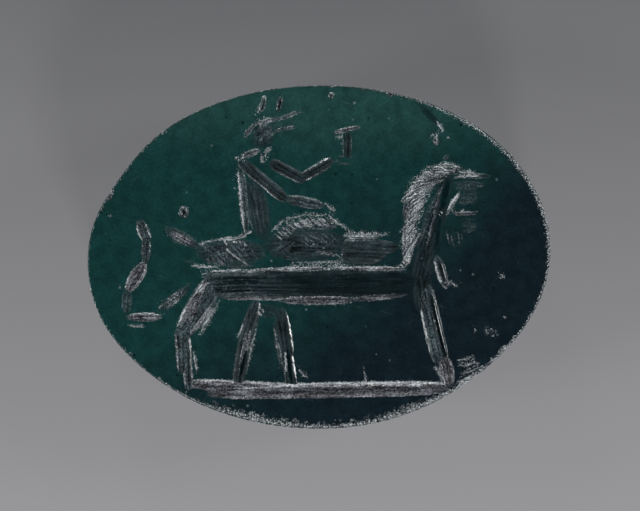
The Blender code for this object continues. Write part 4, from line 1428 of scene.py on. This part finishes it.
def give_materials(mesh):
    """The face and its cuts get the polished stone, the sides and back the ground one."""
    effects = {
        "jasper": jasper_group(), "specks": speck_group(), "frosted_with_glints": frost_glint_group(),
        "chipping": chipping_group(), "hairlines": hairline_group(), "grinding": grinding_group(),
    }
    mesh.materials.clear()
    mesh.materials.append(face_material(effects))
    mesh.materials.append(side_material(effects))
    x, y, z = read_all(mesh.polygons, "center", 3).astype(np.float64).T
    upward = read_all(mesh.polygons, "normal", 3)[:, 2] > FACE_UPWARD
    high = z > GEM_THICKNESS - FACE_REACH
    on_face = high & (upward | (outline.inside(x, y) > FACE_INSIDE))
    mesh.polygons.foreach_set("material_index", np.where(on_face, 0, 1).astype(np.int32))


def make_stone():
    work = engrave()
    rim = WornRim()
    points, quads, triangles, kept = stone_points(work, rim)
    mesh = build_mesh("carved_stone", points, quads, triangles)
    stone = put_in_scene("carved_stone", mesh)
    mesh = thin_out(stone, kept)
    shade(mesh)
    mark_surface(mesh, work, rim)
    give_materials(mesh)
    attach(stone, "root")
    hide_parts(NODE)


# The studio

BOARD_HALF = 0.6
BOARD_GAP = 0.01 * MM
BOARD_FADE = 8.0
BOARD_NEAR = (0.232, 0.229, 0.239, 1.0)
BOARD_FAR = (0.084, 0.086, 0.092, 1.0)
BOARD_PAINT = (0.08, 0.08, 0.081, 1.0)
ROOM_PALE = (0.50, 0.51, 0.53, 1.0)
ROOM_DARK = (0.02, 0.02, 0.022, 1.0)
SOFT_BOXES = (
    # name, azimuth, elevation, distance, height, power
    ("left_soft", 195.0, 22.0, 0.30, 0.045, 0.44),
    ("right_soft", 15.0, 22.0, 0.30, 0.045, 0.40),
    ("near_soft", 285.0, 24.0, 0.30, 0.045, 0.56),
    ("far_soft", 105.0, 20.0, 0.32, 0.05, 0.20),
)
SOFT_BOX_WIDE = 0.07

def make_floor():
    """A large pale light table, a little darker towards its far side."""
    half = BOARD_HALF
    mesh = bpy.data.meshes.new("studio_floor")
    corners = [(-half, -half, 0), (half, -half, 0), (half, half, 0), (-half, half, 0)]
    mesh.from_pydata(corners, [], [(0, 1, 2, 3)])
    floor = put_in_scene("studio_floor", mesh)
    floor.location.z = -BOARD_GAP
    material, tree, shader = new_material("pale_grey_board")
    share = node(
        tree, "ShaderNodeMapRange",
        {"Value": part(tree, millimetres(tree), "Y"), "From Min": -BOARD_FADE, "From Max": BOARD_FADE},
    ).outputs["Result"]
    glow = mix(tree, share, BOARD_NEAR, BOARD_FAR)
    tree.links.new(glow, shader.inputs["Emission Color"])
    shader.inputs["Emission Strength"].default_value = 1.0
    shader.inputs["Base Color"].default_value = BOARD_PAINT
    shader.inputs["Roughness"].default_value = 0.9
    mesh.materials.append(material)


def make_world():
    """A dim room, pale near the horizon and dark overhead."""
    world = bpy.data.worlds.new("studio")
    bpy.context.scene.world = world
    world.use_nodes = True
    tree = world.node_tree
    background = tree.nodes["Background"]
    upward = part(tree, node(tree, "ShaderNodeTexCoord").outputs["Generated"], "Z")
    colour = mix(tree, step(tree, upward, 0.25, 0.85), ROOM_PALE, ROOM_DARK)
    tree.links.new(colour, background.inputs["Color"])
    background.inputs["Strength"].default_value = 0.8


def make_lights():
    """Four low soft boxes that rake the cuts; the polished face mirrors them to few sides."""
    for name, azimuth, elevation, distance, high, power in SOFT_BOXES:
        lamp = bpy.data.lights.new(name, "AREA")
        lamp.shape = "RECTANGLE"
        lamp.size, lamp.size_y = SOFT_BOX_WIDE, high
        lamp.energy = power
        a, e = math.radians(azimuth), math.radians(elevation)
        towards = Vector((math.cos(a) * math.cos(e), math.sin(a) * math.cos(e), math.sin(e)))
        made = put_in_scene(name, lamp)
        made.location = towards * distance
        made.rotation_euler = (-made.location).to_track_quat("-Z", "Y").to_euler()


def make_camera():
    """Straight above the face; the photograph shows the stone's length over 463 of 640 dots."""
    photo_wide = 640.0
    photo_per_length = 463.0
    centre_right, centre_up = 1.0, 1.5
    dot = GEM_LENGTH / photo_per_length
    data = bpy.data.cameras.new("camera")
    data.sensor_width = 36.0
    data.lens = 200.0
    distance = photo_wide * dot * data.lens / data.sensor_width
    data.clip_start, data.clip_end = 0.001, 10.0
    camera = put_in_scene("camera", data)
    camera.location = (centre_right * dot, centre_up * dot, GEM_THICKNESS + distance)
    bpy.context.scene.camera = camera


make_floor()
make_world()
make_lights()
make_camera()
make_stone()
bpy.context.scene.view_settings.view_transform = "Standard"
